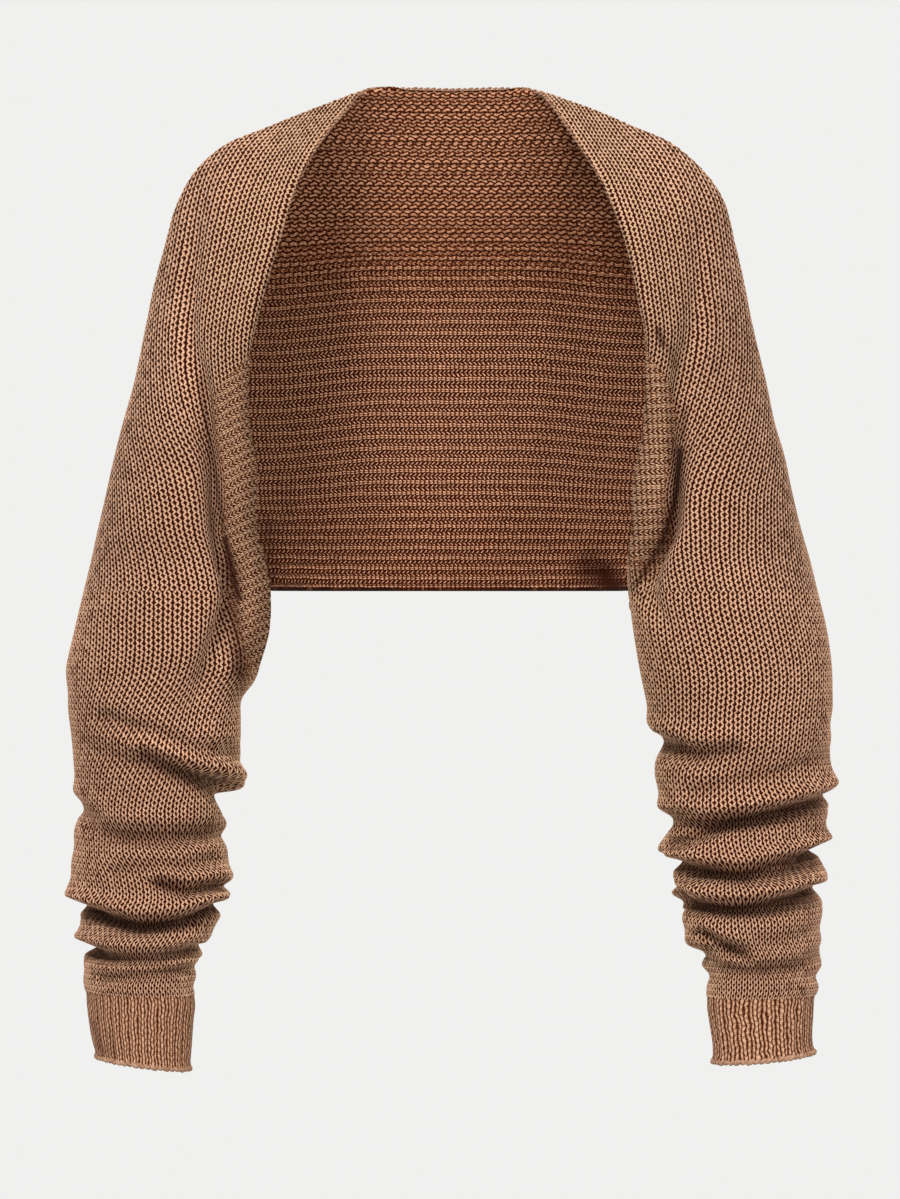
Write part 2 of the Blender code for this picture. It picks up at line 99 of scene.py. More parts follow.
LEFT_BODY = (
    (0, 52, 62.8, 0, 52, 62.8, 0, 0, 36, 0.70, 1.00, 70, 0, 12, 0),
    (32, 50, 63.4, 32, 50, 63.4, 21, 0, 36, 0.66, 1.00, 80, 0, 12, 0),
    (68, 34, 59.0, 68, 34, 59.0, 43, 0, 44, 0.55, 0.95, 95, 0, 12, 0),
    (79, 14, 44.4, 90, 20, 49.0, 52, 1, 50, 0.45, 0.90, 105, 0, 12, 1),
    (91, -6, 27.8, 115, 16, 38.7, 62, 2, 54, 0.40, 0.85, 120, 0, 12, 1.5),
    (103, -24, 8.5, 139, 14, 28.6, 70, 4, 56, 0.36, 0.80, 140, 0, 12, 2),
    (113, -40, -13.3, 172, 12, 14.1, 78, 8, 57, 0.34, 0.75, 168, 0, 14, 2),
    (121, -50, -35.0, 192, 10, -4.2, 86, 14, 58, 0.33, 0.70, 184, 1, 14, 2),
    (128, -57, -59.9, 206, 8, -30.7, 94, 19, 58, 0.33, 0.65, 190, 3, 14, 2),
    (136, -61, -86.7, 214, 7, -59.4, 101, 21, 59, 0.34, 0.60, 193, 5, 13, 2),
    (143, -62, -112.5, 222, 6, -89.6, 108, 22, 60, 0.35, 0.56, 195, 6, 12, 2),
    (149, -60, -137.4, 228, 6, -118.9, 114, 25, 61, 0.37, 0.54, 195, 7, 11, 3),
    (152, -52, -170.8, 237, 7, -162.4, 121, 31, 62, 0.40, 0.52, 186, 11, 9, 6),
    (151, -43, -203.6, 247, 8, -198.4, 126, 37, 62, 0.43, 0.51, 181, 17, 8, 9),
    (147, -36, -226.2, 253, 9, -222.5, 129, 42, 62, 0.45, 0.50, 178, 21, 8, 10),
    (147, -29, -252.7, 259, 10, -249.5, 132, 47, 62, 0.47, 0.50, 174, 24, 8, 10),
    (147, -21, -277.1, 265, 11, -275.1, 134, 51, 61, 0.49, 0.50, 169, 26, 9, 9),
    (142, -12, -296.4, 270, 12, -297.7, 136, 55, 60, 0.50, 0.50, 164, 26, 10, 6),
)
RIGHT_BODY = (
    (0, 52, 62.8, 0, 52, 62.8, 0, 0, 36, 0.70, 1.00, 70, 0, 12, 0),
    (37, 50, 63.4, 37, 50, 63.4, 23, 0, 36, 0.66, 1.00, 80, 0, 12, 0),
    (65, 34, 59.0, 66, 34, 59.0, 43, 0, 44, 0.55, 0.95, 95, 0, 12, 0),
    (75, 14, 47.5, 88, 20, 49.7, 52, 1, 50, 0.45, 0.90, 105, 0, 12, 1),
    (89, -6, 24.8, 112, 16, 40.2, 62, 2, 54, 0.40, 0.85, 120, 0, 12, 1.5),
    (101, -24, 4.1, 136, 14, 29.4, 70, 4, 56, 0.36, 0.80, 140, 0, 12, 2),
    (112, -38, -16.7, 166, 12, 15.6, 78, 8, 57, 0.34, 0.75, 165, 0, 14, 2),
    (120, -48, -36.2, 187, 10, -2.7, 86, 14, 58, 0.33, 0.70, 180, 1, 14, 2),
    (127, -55, -55.3, 202, 8, -24.7, 93, 19, 58, 0.33, 0.65, 184, 2, 14, 2),
    (134, -60, -81.5, 211, 7, -57.9, 100, 21, 59, 0.34, 0.60, 184, 3, 13, 2),
    (139, -62, -108.1, 218, 6, -88.8, 106, 22, 60, 0.35, 0.56, 182, 4, 12, 2),
    (144, -60, -131.5, 224, 6, -119.6, 111, 25, 61, 0.37, 0.54, 178, 6, 11, 3),
    (144, -52, -170.8, 235, 7, -165.4, 117, 31, 62, 0.40, 0.52, 168, 12, 9, 6),
    (144, -43, -196.9, 241, 8, -193.9, 122, 37, 62, 0.43, 0.51, 166, 18, 8, 9),
    (140, -36, -219.6, 248, 9, -217.2, 125, 42, 62, 0.45, 0.50, 165, 22, 8, 10),
    (136, -29, -246.1, 254, 10, -245.0, 127, 47, 62, 0.47, 0.50, 164, 25, 8, 9),
    (136, -21, -274.1, 261, 11, -273.6, 129, 51, 61, 0.49, 0.50, 158, 26, 9, 6),
    (133, -12, -297.9, 268, 12, -297.7, 132, 55, 60, 0.50, 0.50, 146, 22, 10, 3),
)

# One row for each ring of a sleeve, millimetres, X as the distance from the centre, in
# the order of ring_row. depth is half the ring's size from front to back.
LEFT_RINGS = (
    (138, -319, 275, -320, 8, 61, 158, 25, 10),
    (139, -349, 282, -349, 9, 62, 166, 21, 12),
    (148, -379, 288, -379, 10, 61, 178, 13, 13),
    (159, -405, 287, -407, 10, 58, 186, 5, 14),
    (161, -432, 284, -432, 10, 56, 192, 0, 14),
    (162, -456, 282, -456, 9, 54, 192, 0, 14),
    (172, -484, 279, -482, 7, 50, 196, 0, 14),
    (170, -508, 282, -506, 1, 50, 196, 0, 14),
    (169, -532, 283, -532, -7, 48, 196, 0, 14),
    (172, -558, 277, -558, -16, 45, 196, 0, 14),
    (186, -580, 272, -580, -24, 40, 200, 0, 14),
    (190, -600, 272, -600, -30, 37, 204, 0, 14),
    (193, -613, 271, -611, -35, 36, 206, 0, 14),
)
RIGHT_RINGS = (
    (134, -320, 273, -320, 8, 61, 144, 10, 12),
    (138, -349, 280, -349, 9, 62, 160, 2, 12),
    (143, -379, 284, -379, 10, 61, 172, 0, 13),
    (149, -407, 284, -407, 10, 59, 178, 0, 14),
    (155, -432, 283, -432, 10, 57, 184, 0, 14),
    (154, -456, 283, -456, 9, 55, 190, 0, 14),
    (161, -484, 282, -480, 6, 53, 192, 0, 14),
    (162, -508, 276, -502, 0, 50, 194, 0, 14),
    (168, -532, 275, -528, -8, 48, 194, 0, 14),
    (171, -558, 274, -556, -16, 45, 196, 0, 14),
    (180, -582, 272, -580, -23, 41, 200, 0, 14),
    (189, -603, 271, -601, -30, 38, 204, 0, 14),
    (190, -614, 270, -614, -34, 36, 206, 0, 14),
)
CUFF_RINGS = {
    "left": ((192, -618, 270, -615, -36, 35), (193, -638, 267, -635, -41, 33),
             (194, -656, 264, -650, -46, 32), (195, -671, 260, -662, -50, 31)),
    "right": ((190, -619, 268, -618, -35, 36), (192, -638, 265, -637, -41, 34),
              (194, -653, 264, -650, -46, 33), (194, -666, 265, -660, -50, 32)),
}

# Creases that run round a sleeve, millimetres: the height and the depth of each at
# the inside, front, outside and back of the arm, and its half width.
FOLD_COLUMNS = ("in_z", "front_z", "out_z", "back_z",
                "in_d", "front_d", "out_d", "back_d", "width")
AROUND = ("in", "front", "out", "back", "in")
LEFT_FOLDS = (
    (-401, -380, -396, -412, 2, 1, 1, 7, 9),
    (-477, -450, -436, -466, 12, 6, 0, 9, 8),
    (-484, -492, -482, -492, 3, 2, 6, 7, 7),
    (-502, -500, -512, -516, 4, 5, 1, 5, 7),
    (-541, -536, -548, -536, 7, 1, 1, 7, 5),
    (-553, -565, -554, -566, 8, 11, 8, 5, 6),
    (-583, -590, -584, -582, 4, 3, 11, 6, 5),
    (-596, -604, -600, -600, 3, 1, 1, 4, 5),
)
RIGHT_FOLDS = (
    (-432, -446, -420, -440, 7, 2, 1, 5, 8),
    (-493, -489, -473, -486, 9, 10, 6, 8, 7),
    (-523, -530, -513, -524, 8, 8, 11, 8, 6),
    (-552, -554, -542, -556, 8, 10, 8, 7, 6),
    (-538, -522, -528, -540, 4, 1, 1, 5, 5),
    (-590, -580, -570, -582, 7, 3, 1, 6, 6),
    (-604, -598, -606, -600, 3, 2, 3, 4, 5),
)
FOLDS = {"left": LEFT_FOLDS, "right": RIGHT_FOLDS}
RINGS = {"left": LEFT_RINGS, "right": RIGHT_RINGS}
BODIES = {"left": LEFT_BODY, "right": RIGHT_BODY}

# Hollow in the hem at each underarm, millimetres: x, z, radius and depth
HEM_HOLLOW = {"left": (112, -318, 12, 3), "right": (114, -312, 14, 16)}
HOLLOW_START = 0.7
HOLLOW_BLEND = 0.1

SECTION_POINTS = 120

# Finer creases seen from the front, millimetres: depth, half width, share of the lip
# above it, and the line of (x, z) places that it follows
LEFT_CREASES = (
    (7, 5.0, 0.7, ((-227, -440), (-210, -448), (-188, -458), (-162, -465))),
    (3.5, 6.0, 0.4, ((-258, -413), (-227, -422), (-189, -437), (-162, -440))),
    (5, 6.0, 0.5, ((-270, -494), (-238, -503), (-208, -505), (-174, -496))),
    (3.5, 5.0, 0.4, ((-249, -527), (-227, -523), (-197, -523), (-178, -518))),
    (7, 4.0, 0.6, ((-215, -535), (-197, -542), (-174, -539))),
    (8, 4.5, 0.7, ((-279, -554), (-257, -560), (-230, -568), (-199, -565), (-176, -554))),
    (6, 5.0, 0.5, ((-273, -586), (-249, -590), (-219, -590), (-192, -584))),
    (4, 4.0, 0.4, ((-257, -605), (-227, -601), (-197, -598))),
)
RIGHT_CREASES = (
    (5, 6.0, 0.5, ((156, -433), (179, -440), (209, -437))),
    (3, 6.0, 0.4, ((179, -469), (209, -460), (242, -454), (281, -440))),
    (8, 5.0, 0.7, ((164, -508), (186, -499), (206, -491), (242, -483), (285, -475))),
    (7, 4.5, 0.6, ((168, -523), (190, -527), (214, -530), (240, -520), (276, -513))),
    (8, 4.5, 0.7, ((165, -541), (179, -551), (206, -554), (236, -549), (267, -542))),
    (7, 4.0, 0.6, ((186, -572), (201, -580), (218, -589))),
    (4, 5.0, 0.4, ((186, -593), (216, -599), (250, -595), (278, -587))),
)
PRESSED = {"left": LEFT_CREASES, "right": RIGHT_CREASES}

# Painted shade in dark crevices and hollows: darkness, half width and line of (x, z) places,
# on the outer face as seen from the front and on the inner face of the back
SHADOWS = {
    "left": (
        (0.55, 2.2, ((-186, -161), (-182, -190), (-178, -219), (-173, -247), (-167, -291))),
        (0.92, 2.6, ((-168, -281), (-163, -304), (-158, -325))),
        (0.66, 7.0, ((-166, -296), (-163, -326), (-160, -356), (-158, -380))),
        (0.45, 4.0, ((-157, -364), (-157, -394))),
        (0.55, 3.0, ((-275, -637), (-266, -667))),
        (0.40, 2.6, ((-263, -637), (-255, -664))),
        (0.30, 2.4, ((-251, -642), (-246, -663))),
    ),
    "right": (
        (0.45, 2.4, ((173, -184), (170, -206))),
        (0.95, 2.3, ((169, -215), (167, -244), (164, -257), (156, -283))),
        (0.88, 1.9, ((156, -283), (143, -305), (137, -316))),
        (0.35, 6.0, ((169, -215), (164, -257), (156, -283), (143, -305))),
        (0.80, 3.0, ((151, -127), (155, -139))),
        (0.40, 3.0, ((159, -140), (165, -155))),
    ),
}
INNER_SHADOWS = {
    "left": (
        (0.35, 6.0, ((-143, -266), (-138, -317))),
    ),
    "right": (
        (0.95, 9.0, ((117, -305), (125, -319))),
        (0.60, 15.0, ((104, -299), (123, -316))),
    ),
}

# How far below the seen creases their copies behind the arm lie, how soon a crease fades
# past its ends, and the room that the inner faces leave for the creases outside
BACK_DROP = 13.0
CREASE_FADE = 14.0
CREASE_ROOM = 1.2 * MM

# Painted shade at the bottom of a fine crease and of a fold, and the depths that reach it
CREASE_SHADE, CREASE_SHADE_DEPTH = 0.55, 8 * MM
FOLD_SHADE, FOLD_SHADE_DEPTH = 0.45, 10 * MM


def smooth(t):
    t = np.clip(t, 0, 1)
    return t * t * (3 - 2 * t)


def unit(vectors):
    return vectors / np.maximum(np.linalg.norm(vectors, axis=-1, keepdims=True), 1e-12)


def every_row(values, rows):
    """The same values on each of these rows."""
    return values[None, :] + np.zeros((len(rows), 1))


def travelled(points, axis):
    """Length covered up to each point along one axis of a grid, from 0."""
    steps = np.linalg.norm(np.diff(points, axis=axis), axis=-1)
    start = np.zeros_like(np.take(steps, [0], axis=axis))
    return np.concatenate((start, np.cumsum(steps, axis=axis)), axis=axis)


def curve_through(at, knots, values):
    """Smooth curve through rows of values, with level-headed slopes at the knots."""
    knots = np.asarray(knots, float)
    values = np.asarray(values, float)
    step = np.diff(knots)
    rise = np.diff(values, axis=0) / step[:, None]
    slope = np.empty_like(values)
    slope[0], slope[-1] = rise[0], rise[-1]
    before, after = step[:-1, None], step[1:, None]
    slope[1:-1] = (rise[:-1] * after + rise[1:] * before) / (before + after)
    at = np.clip(np.asarray(at, float), knots[0], knots[-1])
    i = np.clip(np.searchsorted(knots, at, side="right") - 1, 0, len(step) - 1)
    h = step[i][:, None]
    t = ((at - knots[i]) / step[i])[:, None]
    return ((2 * t**3 - 3 * t**2 + 1) * values[i] + (t**3 - 2 * t**2 + t) * h * slope[i]
            + (3 * t**2 - 2 * t**3) * values[i + 1] + (t**3 - t**2) * h * slope[i + 1])


def hem_y(x):
    """Depth of the hem: level behind the back, turning forward to the underarm."""
    turn = np.clip(x / UNDERARM_X, 0, 1) ** HEM_TURN
    return HEM_BACK_Y + (UNDERARM_Y - HEM_BACK_Y) * turn


def section_table(side):
    """All sections of one side as rows of the same columns, and each row's station."""
    rows = []
    for r in BODIES[side]:
        v = dict(zip(COLUMNS, r))
        past_free = max(v["front"] - FREE_EDGE_DEPTH, 0) / FREE_EDGE_CHANGE
        round_edge = 1.0 - 0.5 * past_free
        rows.append((v["edge_x"], v["edge_y"], v["edge_z"], v["side_x"], v["side_y"],
                     v["side_z"], v["hem_x"], hem_y(v["hem_x"]), HEM_Z, v["front"],
                     v["back"], v["round_side"], v["round_hem"], round_edge,
                     v["crease_x"], v["crease_d"], v["crease_w"], v["roll"]))
    rows += [ring_row(*r) for r in RINGS[side]]
    rows += [ring_row(*r, *NO_CREASE) for r in CUFF_RINGS[side]]
    rows = np.array(rows, float)
    ends = rows[:, 0:6].reshape(-1, 2, 3)
    move = np.linalg.norm(np.diff(ends, axis=0), axis=2).mean(axis=1)
    stations = np.concatenate(([0.0], np.cumsum(move))) * MM
    return rows, stations


def ring_row(in_x, in_z, out_x, out_z, mid_y, depth, crease_x, crease_d, crease_w):
    """A closed ring of the sleeve: its section ends where it starts."""
    in_y = mid_y + UNDERARM_Y - SLEEVE_INNER_Y
    return (in_x, in_y, in_z, out_x, mid_y, out_z, in_x, in_y, in_z,
            depth, depth, 0.5, 0.5, 0.5, crease_x, crease_d, crease_w, 0.0)


def arch(share, start, end, power=0.5):
    """Height 0 to 1 of an arch whose two ends are rounded over these shares."""
    def rounded(t, power):
        return (1.0 - (1.0 - np.clip(t, 0, 1)) ** 2) ** power
    return rounded(share / start, power) * rounded((1.0 - share) / end, 0.5)


class Side:
    """The cloth of one side as a surface over (station, place along the section)."""

    def __init__(self, side):
        self.side = side
        self.sign = SIGN[side]
        self.rows, self.stations = section_table(side)
        self.neck = self.stations[2]
        self.underarm = self.stations[len(BODIES[side])]
        self.cuff = self.stations[len(BODIES[side]) + len(RINGS[side])]
        self.end = self.stations[-1]

    def sections(self, at):
        """Dense section lines at these stations, and the share where the side lies."""
        row = curve_through(at, self.stations, self.rows)
        (ex, ey, ez, sx, sy, sz, hx, hy, hz,
         front, back, r_side, r_hem, r_edge) = row[:, :14].T[:, :, None]
        ease = 0.5 - 0.5 * np.cos(np.linspace(0, pi, SECTION_POINTS))[None, :]
        zero = np.zeros_like(front * ease)
        front_y = ey + (sy - ey) * ease - front * arch(ease, r_edge, 0.5 + zero)
        first = np.stack((ex + (sx - ex) * ease, front_y, ez + (sz - ez) * ease), -1)
        power = 0.5 + 0.5 * np.clip(1 - (sx - NECK_FLAT_X) / NECK_TURN_X, 0, 1)
        back_y = sy + (hy - sy) * ease + back * arch(ease, r_side, r_hem, power)
        second = np.stack((sx + (hx - sx) * ease, back_y, sz + (hz - sz) * ease), -1)
        line = np.concatenate((first, second[:, 1:]), axis=1)
        line[..., 0] *= self.sign
        line *= MM
        reach = travelled(line, 1)
        crease = np.clip((row[:, 14] - row[:, 0]) / np.maximum(row[:, 3] - row[:, 0], 1), 0, 1)
        k = np.arccos(1 - 2 * crease) / pi * (SECTION_POINTS - 1)
        crease_at = np.array([np.interp(k[i], np.arange(reach.shape[1]), reach[i])
                              for i in range(len(line))])
        return line, reach, crease_at, row

    def side_share(self, at):
        """Share of each section that lies in front of the outer silhouette."""
        reach = self.sections(at)[1]
        return reach[:, SECTION_POINTS - 1] / reach[:, -1]

    def base(self, at, share):
        """Points of the smooth form on a grid of stations and shares."""
        line, reach, crease_at, row = self.sections(at)
        points = np.empty(share.shape + (3,))
        for i in range(len(at)):
            want = share[i] * reach[i, -1]
            for axis in range(3):
                points[i, :, axis] = np.interp(want, reach[i], line[i, :, axis])
        return points, reach[:, -1], crease_at, row

    def grid(self, at, share, ring=False):
        """Points and outward normals of the folded cloth on the grid."""
        share = share + np.zeros((len(at), 1))
        points, length, crease_at, row = self.base(at, share)
        ahead = self.base(np.minimum(at + STEP_ALONG, self.end), share)[0]
        behind = self.base(np.maximum(at - STEP_ALONG, 0), share)[0]
        more, less = share + STEP_ACROSS, share - STEP_ACROSS
        if ring:
            more, less = more % 1.0, less % 1.0
        more = self.base(at, np.minimum(more, 1))[0]
        less = self.base(at, np.maximum(less, 0))[0]
        normal = unit(np.cross(ahead - behind, more - less)) * self.sign
        from_edge = share * length[:, None]
        crease = row[:, 15] * MM
        width = row[:, 16] * MM
        away = (from_edge - crease_at[:, None]) / width[:, None]
        groove = crease[:, None] * np.exp(-away**2)
        points = points - normal * groove[..., None]
        turned = np.clip(1 - from_edge / EDGE_ROLL_WIDTH, 0, 1) ** 2 * row[:, 17][:, None] * MM
        points[..., 1] += turned
        points = points + normal * self.folds(points, share)[..., None]
        points = points - normal * pressed(self.side, points, normal)[..., None]
        x, z, radius, depth = (v * MM for v in HEM_HOLLOW[self.side])
        apart = (np.abs(points[..., 0]) - x) ** 2 + (points[..., 2] - z) ** 2
        behind_arm = np.clip((share - HOLLOW_START) / HOLLOW_BLEND, 0, 1)
        points[..., 1] += depth * np.exp(-apart / radius**2) * behind_arm
        return points, normal

    def folds(self, points, share):
        """Height of the creases round the sleeve, troughs with a soft lip above them."""
        around = np.linspace(0, 1, len(AROUND))
        total = np.zeros(points.shape[:2])
        for row in FOLDS[self.side]:
            v = dict(zip(FOLD_COLUMNS, row))
            heights = [[v[place + "_z"]] for place in AROUND]
            depths = [[v[place + "_d"]] for place in AROUND]
            flat = share.ravel()
            z = curve_through(flat, around, heights)[:, 0].reshape(share.shape) * MM
            depth = curve_through(flat, around, depths)[:, 0].reshape(share.shape) * MM
            away = (points[..., 2] - z) / (v["width"] * MM)
            total -= depth * np.exp(-away**2)
            total += FOLD_LIP * depth * np.exp(-(away - FOLD_LIP_AWAY) ** 2)
        return total


def line_distance(x, z, line):
    """Signed distance to a line of places, above it positive, and how far past its ends."""
    best = np.full(x.shape, 1e9)
    signed = np.full(x.shape, 1e9)
    beyond = np.zeros(x.shape)
    for k, ((ax, az), (bx, bz)) in enumerate(zip(line[:-1], line[1:])):
        dx, dz = bx - ax, bz - az
        size = np.hypot(dx, dz)
        t = ((x - ax) * dx + (z - az) * dz) / size**2
        on = np.clip(t, 0, 1)
        away = np.hypot(x - ax - on * dx, z - az - on * dz)
        side = np.sign((dx * (z - az) - dz * (x - ax)) * (1 if dx > 0 else -1))
        nearer = away < best
        best = np.where(nearer, away, best)
        signed = np.where(nearer, away * np.where(side == 0, 1, side), signed)
        over = np.zeros(x.shape)
        if k == 0:
            over = np.maximum(-t, 0) * size
        if k == len(line) - 2:
            over = np.maximum(over, np.maximum(t - 1, 0) * size)
        beyond = np.where(nearer, over, beyond)
    return signed, beyond


def pressed(side, points, normal):
    """Depth of the finer creases, the seen ones in front and similar ones behind."""
    total = np.zeros(points.shape[:2])
    facing = -normal[..., 1]
    for shift, mask in ((0.0, smooth((facing + 0.15) / 0.5)),
                        (BACK_DROP, smooth((-facing + 0.10) / 0.5))):
        x, z = points[..., 0] / MM, points[..., 2] / MM + shift
        for depth, width, lip, line in PRESSED[side]:
            away, beyond = line_distance(x, z, line)
            near = np.exp(-(beyond / CREASE_FADE) ** 2)
            groove = np.exp(-(away / width) ** 2)
            ridge = lip * np.exp(-((away - 2.0 * width) / (1.3 * width)) ** 2)
            total += mask * near * depth * (groove - ridge)
    return total * MM


def shadows(table, points):
    """Painted shade from 0 to 1 along these lines of places."""
    clear = np.ones(points.shape[:2])
    for dark, width, line in table:
        away, beyond = line_distance(points[..., 0] / MM, points[..., 2] / MM, line)
        clear *= 1 - dark * np.exp(-(away / width) ** 2 - (beyond / width) ** 2)
    return 1 - clear


def shade_of(cloth, points, normal, share):
    """Painted shade from 0 to 1 of the outer face, deep in its creases and crevices."""
    creases = np.clip(pressed(cloth.side, points, normal) / CREASE_SHADE_DEPTH, 0, 1)
    folds = np.clip(-cloth.folds(points, share) / FOLD_SHADE_DEPTH, 0, 1)
    front = smooth((0.1 - normal[..., 1]) / 0.4)
    lines = shadows(SHADOWS[cloth.side], points) * front
    return 1 - (1 - CREASE_SHADE * creases) * (1 - FOLD_SHADE * folds) * (1 - lines)


# Knit: the wales of a section, their pitch from the free edge round to the hem, and the
# stretch before the underarm over which they even out
WALES = 62
SHARE_KNOTS = (0.0, 0.05, 0.12, 0.35, 0.50, 1.0)
BODY_PITCH = (0.70, 0.82, 1.02, 1.12, 0.95, 0.72)
BLEND_BEFORE = 120.0 * MM
BLEND_LENGTH = 140.0 * MM
DENSE_SHARES = np.linspace(0, 1, 501)
SPREAD_ROWS = 20.0
# The wale past which the outer face is plain, half as dense, and, past the silhouette, the
# shares over which the relief changes and where the back's courses start
BACK_WALE = 36
BACK_BLEND, BACK_START = 0.02, 0.005
BACK_RELIEF = 0.8
# The cuffs' ribs, the roll at their edge and the share of their height where it starts
CUFF_RIBS = {"left": 32, "right": 24}
RIB_ROLL = 1.8 * MM
RIB_ROLL_FROM = 0.86
# How far the wales sway and drift down a sleeve, in wales
SWAY = {"left": -2.2, "right": 1.0}
SWAY_TURNS = 3.0
DRIFT = {"left": -1.7, "right": -0.9}
DRIFT_FADE = 60.0 * MM
# The turned-over strip by the free edge: slope of its ridges, its pitches, the heights
# between which it widens, its width in wales and where it ends
STRIP_SLOPE = {"left": -0.55, "right": -0.06}
STRIP_WALE = 7.4 * MM
STRIP_COURSE = 3.6 * MM
STRIP_TOP, STRIP_FULL = -0.120, -0.195
STRIP_WALES = 7.6
STRIP_END = {"left": -0.385, "right": -0.310}
# Bow of a drawn strand, its middle and half width, in wales, and the depth of the holes
STRAND_BOW = 0.070
STRAND_MIDDLE = 0.25
STRAND_HALF = 0.225
HOLE_DEPTH = 0.92
# The rims' wale: of the free edge, and of the hem
FREE_RIM_WALE = 0.25
HEM_RIM_RIDGES = 6.5

# Ridges inside the back: height and pitch, millimetres, and how far they droop sideways
RIDGE_PITCH = ((64.0, 5.0), (-30.0, 5.6), (-85.0, 8.0), (-160.0, 8.7), (-270.0, 8.2),
               (-318.0, 7.4))
RIDGES = 52
# The ridges' relief: its share, how much is added near the hem and from where, how far
# the face is sunk, and the share of the section over which it eases off at the hem
RIDGE_SHARE, RIDGE_EXTRA, RIDGE_SUNK = 0.8, 0.5, 0.4
RIDGE_DEEPENS, RIDGE_DEEPENS_OVER = 0.78, 0.2
HEM_EASE = 0.008
RIDGE_COLUMNS = 5
DROOP = 7.0 * MM
DROOP_FROM, DROOP_SPAN = 55.0 * MM, 95.0 * MM
DROOP_TOP, DROOP_LOW, DROOP_EASE = 0.0, -300.0 * MM, 90 * MM
FRONT_INSIDE_COLUMNS = 44

# Stitches of the edge chain: length over their pitch, and how far their sizes vary
STITCH_OVERLAP = 1.45
STITCH_SIZES = (0.85, 1.12)
# How dark the chain by the back of the neck is beside the inner yarn: a darker copy of the
# same yarn, painted shade
NECK_CHAIN_SHADE = 0.55
# Yarn by the free edge, and the sheen's tint
EDGE_YARN = (0.50, 0.33, 0.19)
SHEEN = (0.95, 0.75, 0.58)

OUTER, INNER = 0, 1


def length(name, size, description):
    return FloatProperty(name=name, default=size, description=description, unit="LENGTH")


def colour(name, shade, description):
    return FloatVectorProperty(name=name, default=shade, description=description,
                               subtype="COLOR", min=0, max=1)


class GarmentSizes(bpy.types.PropertyGroup):
    """Sizes of the stitches that a user would change."""
    course: length("Course pitch", 4.4 * MM, "Length of a stitch along the arm")
    back_course: length("Back course pitch", 3.4 * MM, "Length of a stitch across the back")
    strand: length("Strand height", 0.6 * MM, "Height of the yarn over the cloth")
    pit: length("Pit depth", 0.5 * MM, "Depth of the hole between two stitches")
    bow: FloatProperty(name="Strand bow", default=0.06,
                       description="Sideways bow of a strand round a hole, in wales")
    ridge: length("Ridge height", 1.5 * MM, "Height of the ridges on the inside of the back")
    rib: length("Cuff rib height", 0.8 * MM, "Height of a rib of the cuff")
    chain_pitch: length("Edge chain pitch", 4.6 * MM, "Length of a stitch of the edges")
    chain_width: length("Edge chain width", 2.4 * MM, "Thickness of the chain on the edges")


class GarmentColours(bpy.types.PropertyGroup):
    """Colours of the yarn on the two faces of the cloth, and the near-black painted shade in
    their holes and creases.
    """
    outside: colour("Outside", (0.545, 0.323, 0.210), "Yarn of the outer face")
    # The deep colours are painted shade: near black in the holes and valleys of the knit and
    # in the creases and crevices
    outside_deep: colour("Outside, deep", (0.024, 0.003, 0.0005), "Holes of the outer face")
    inside: colour("Inside", (0.68, 0.355, 0.215), "Yarn of the inner face")
    inside_deep: colour("Inside, deep", (0.030, 0.004, 0.0008), "Holes of the inner face")


def body_wales():
    """Wale number at each dense share of a body section, closer by the front edge."""
    pitch = np.interp(DENSE_SHARES, SHARE_KNOTS, BODY_PITCH)
    sums = np.concatenate(([0], np.cumsum(1 / pitch[1:])))
    return WALES * sums / sums[-1]


BODY_WALES = body_wales()


def shares_of(cloth, at, wales, ring=False):
    """Shares of the section at which these wale numbers lie, by length along the folds."""
    mix = smooth((at - (cloth.underarm - BLEND_BEFORE)) / BLEND_LENGTH)
    few = np.linspace(0, len(at) - 1, max(2, len(at) // 8)).round().astype(int)
    spread = np.linspace(0, 1, 241)
    reach = travelled(cloth.grid(at[few], spread[None, :], ring)[0], 1)
    reach /= reach[:, -1:]
    blur = np.exp(-((few[:, None] - few[None, :]) / SPREAD_ROWS) ** 2)
    reach = blur @ reach / blur.sum(axis=1, keepdims=True)
    shares = np.empty(wales.shape)
    for i, k in enumerate(mix):
        after = np.clip(np.searchsorted(few, i), 1, len(few) - 1)
        t = (i - few[after - 1]) / (few[after] - few[after - 1])
        length = (1 - t) * reach[after - 1] + t * reach[after]
        table = (1 - k) * BODY_WALES + k * WALES * DENSE_SHARES
        shares[i] = np.interp(np.interp(wales[i], table, DENSE_SHARES), length, spread)
    return shares


def stitched(wales, phase, sizes):
    """Sideways bow and height of the outer face's stitches at wales and course phases."""
    wave = np.cos(2 * pi * phase)
    bow = sizes.bow * wave * np.sin(2 * pi * wales)
    between = 0.5 + 0.5 * np.cos(4 * pi * wales)
    stagger = np.cos(2 * pi * wales) * wave
    height = sizes.strand * (1 - between)
    height -= between * sizes.pit * (0.35 + 0.65 * smooth((stagger + 0.85) / 1.1))
    return bow, height


def ridge_numbers():
    """Heights from the neck down to the hem, and the ridge number at each."""
    heights = np.linspace(RIDGE_PITCH[0][0], RIDGE_PITCH[-1][0], 400)
    knots = np.array(RIDGE_PITCH)[::-1]
    pitch = np.interp(heights, knots[:, 0], knots[:, 1])
    sums = np.concatenate(([0], np.cumsum(1 / pitch[1:])))
    return heights * MM, RIDGES * sums / sums[-1]


RIDGE_HEIGHTS, RIDGE_COUNT = ridge_numbers()


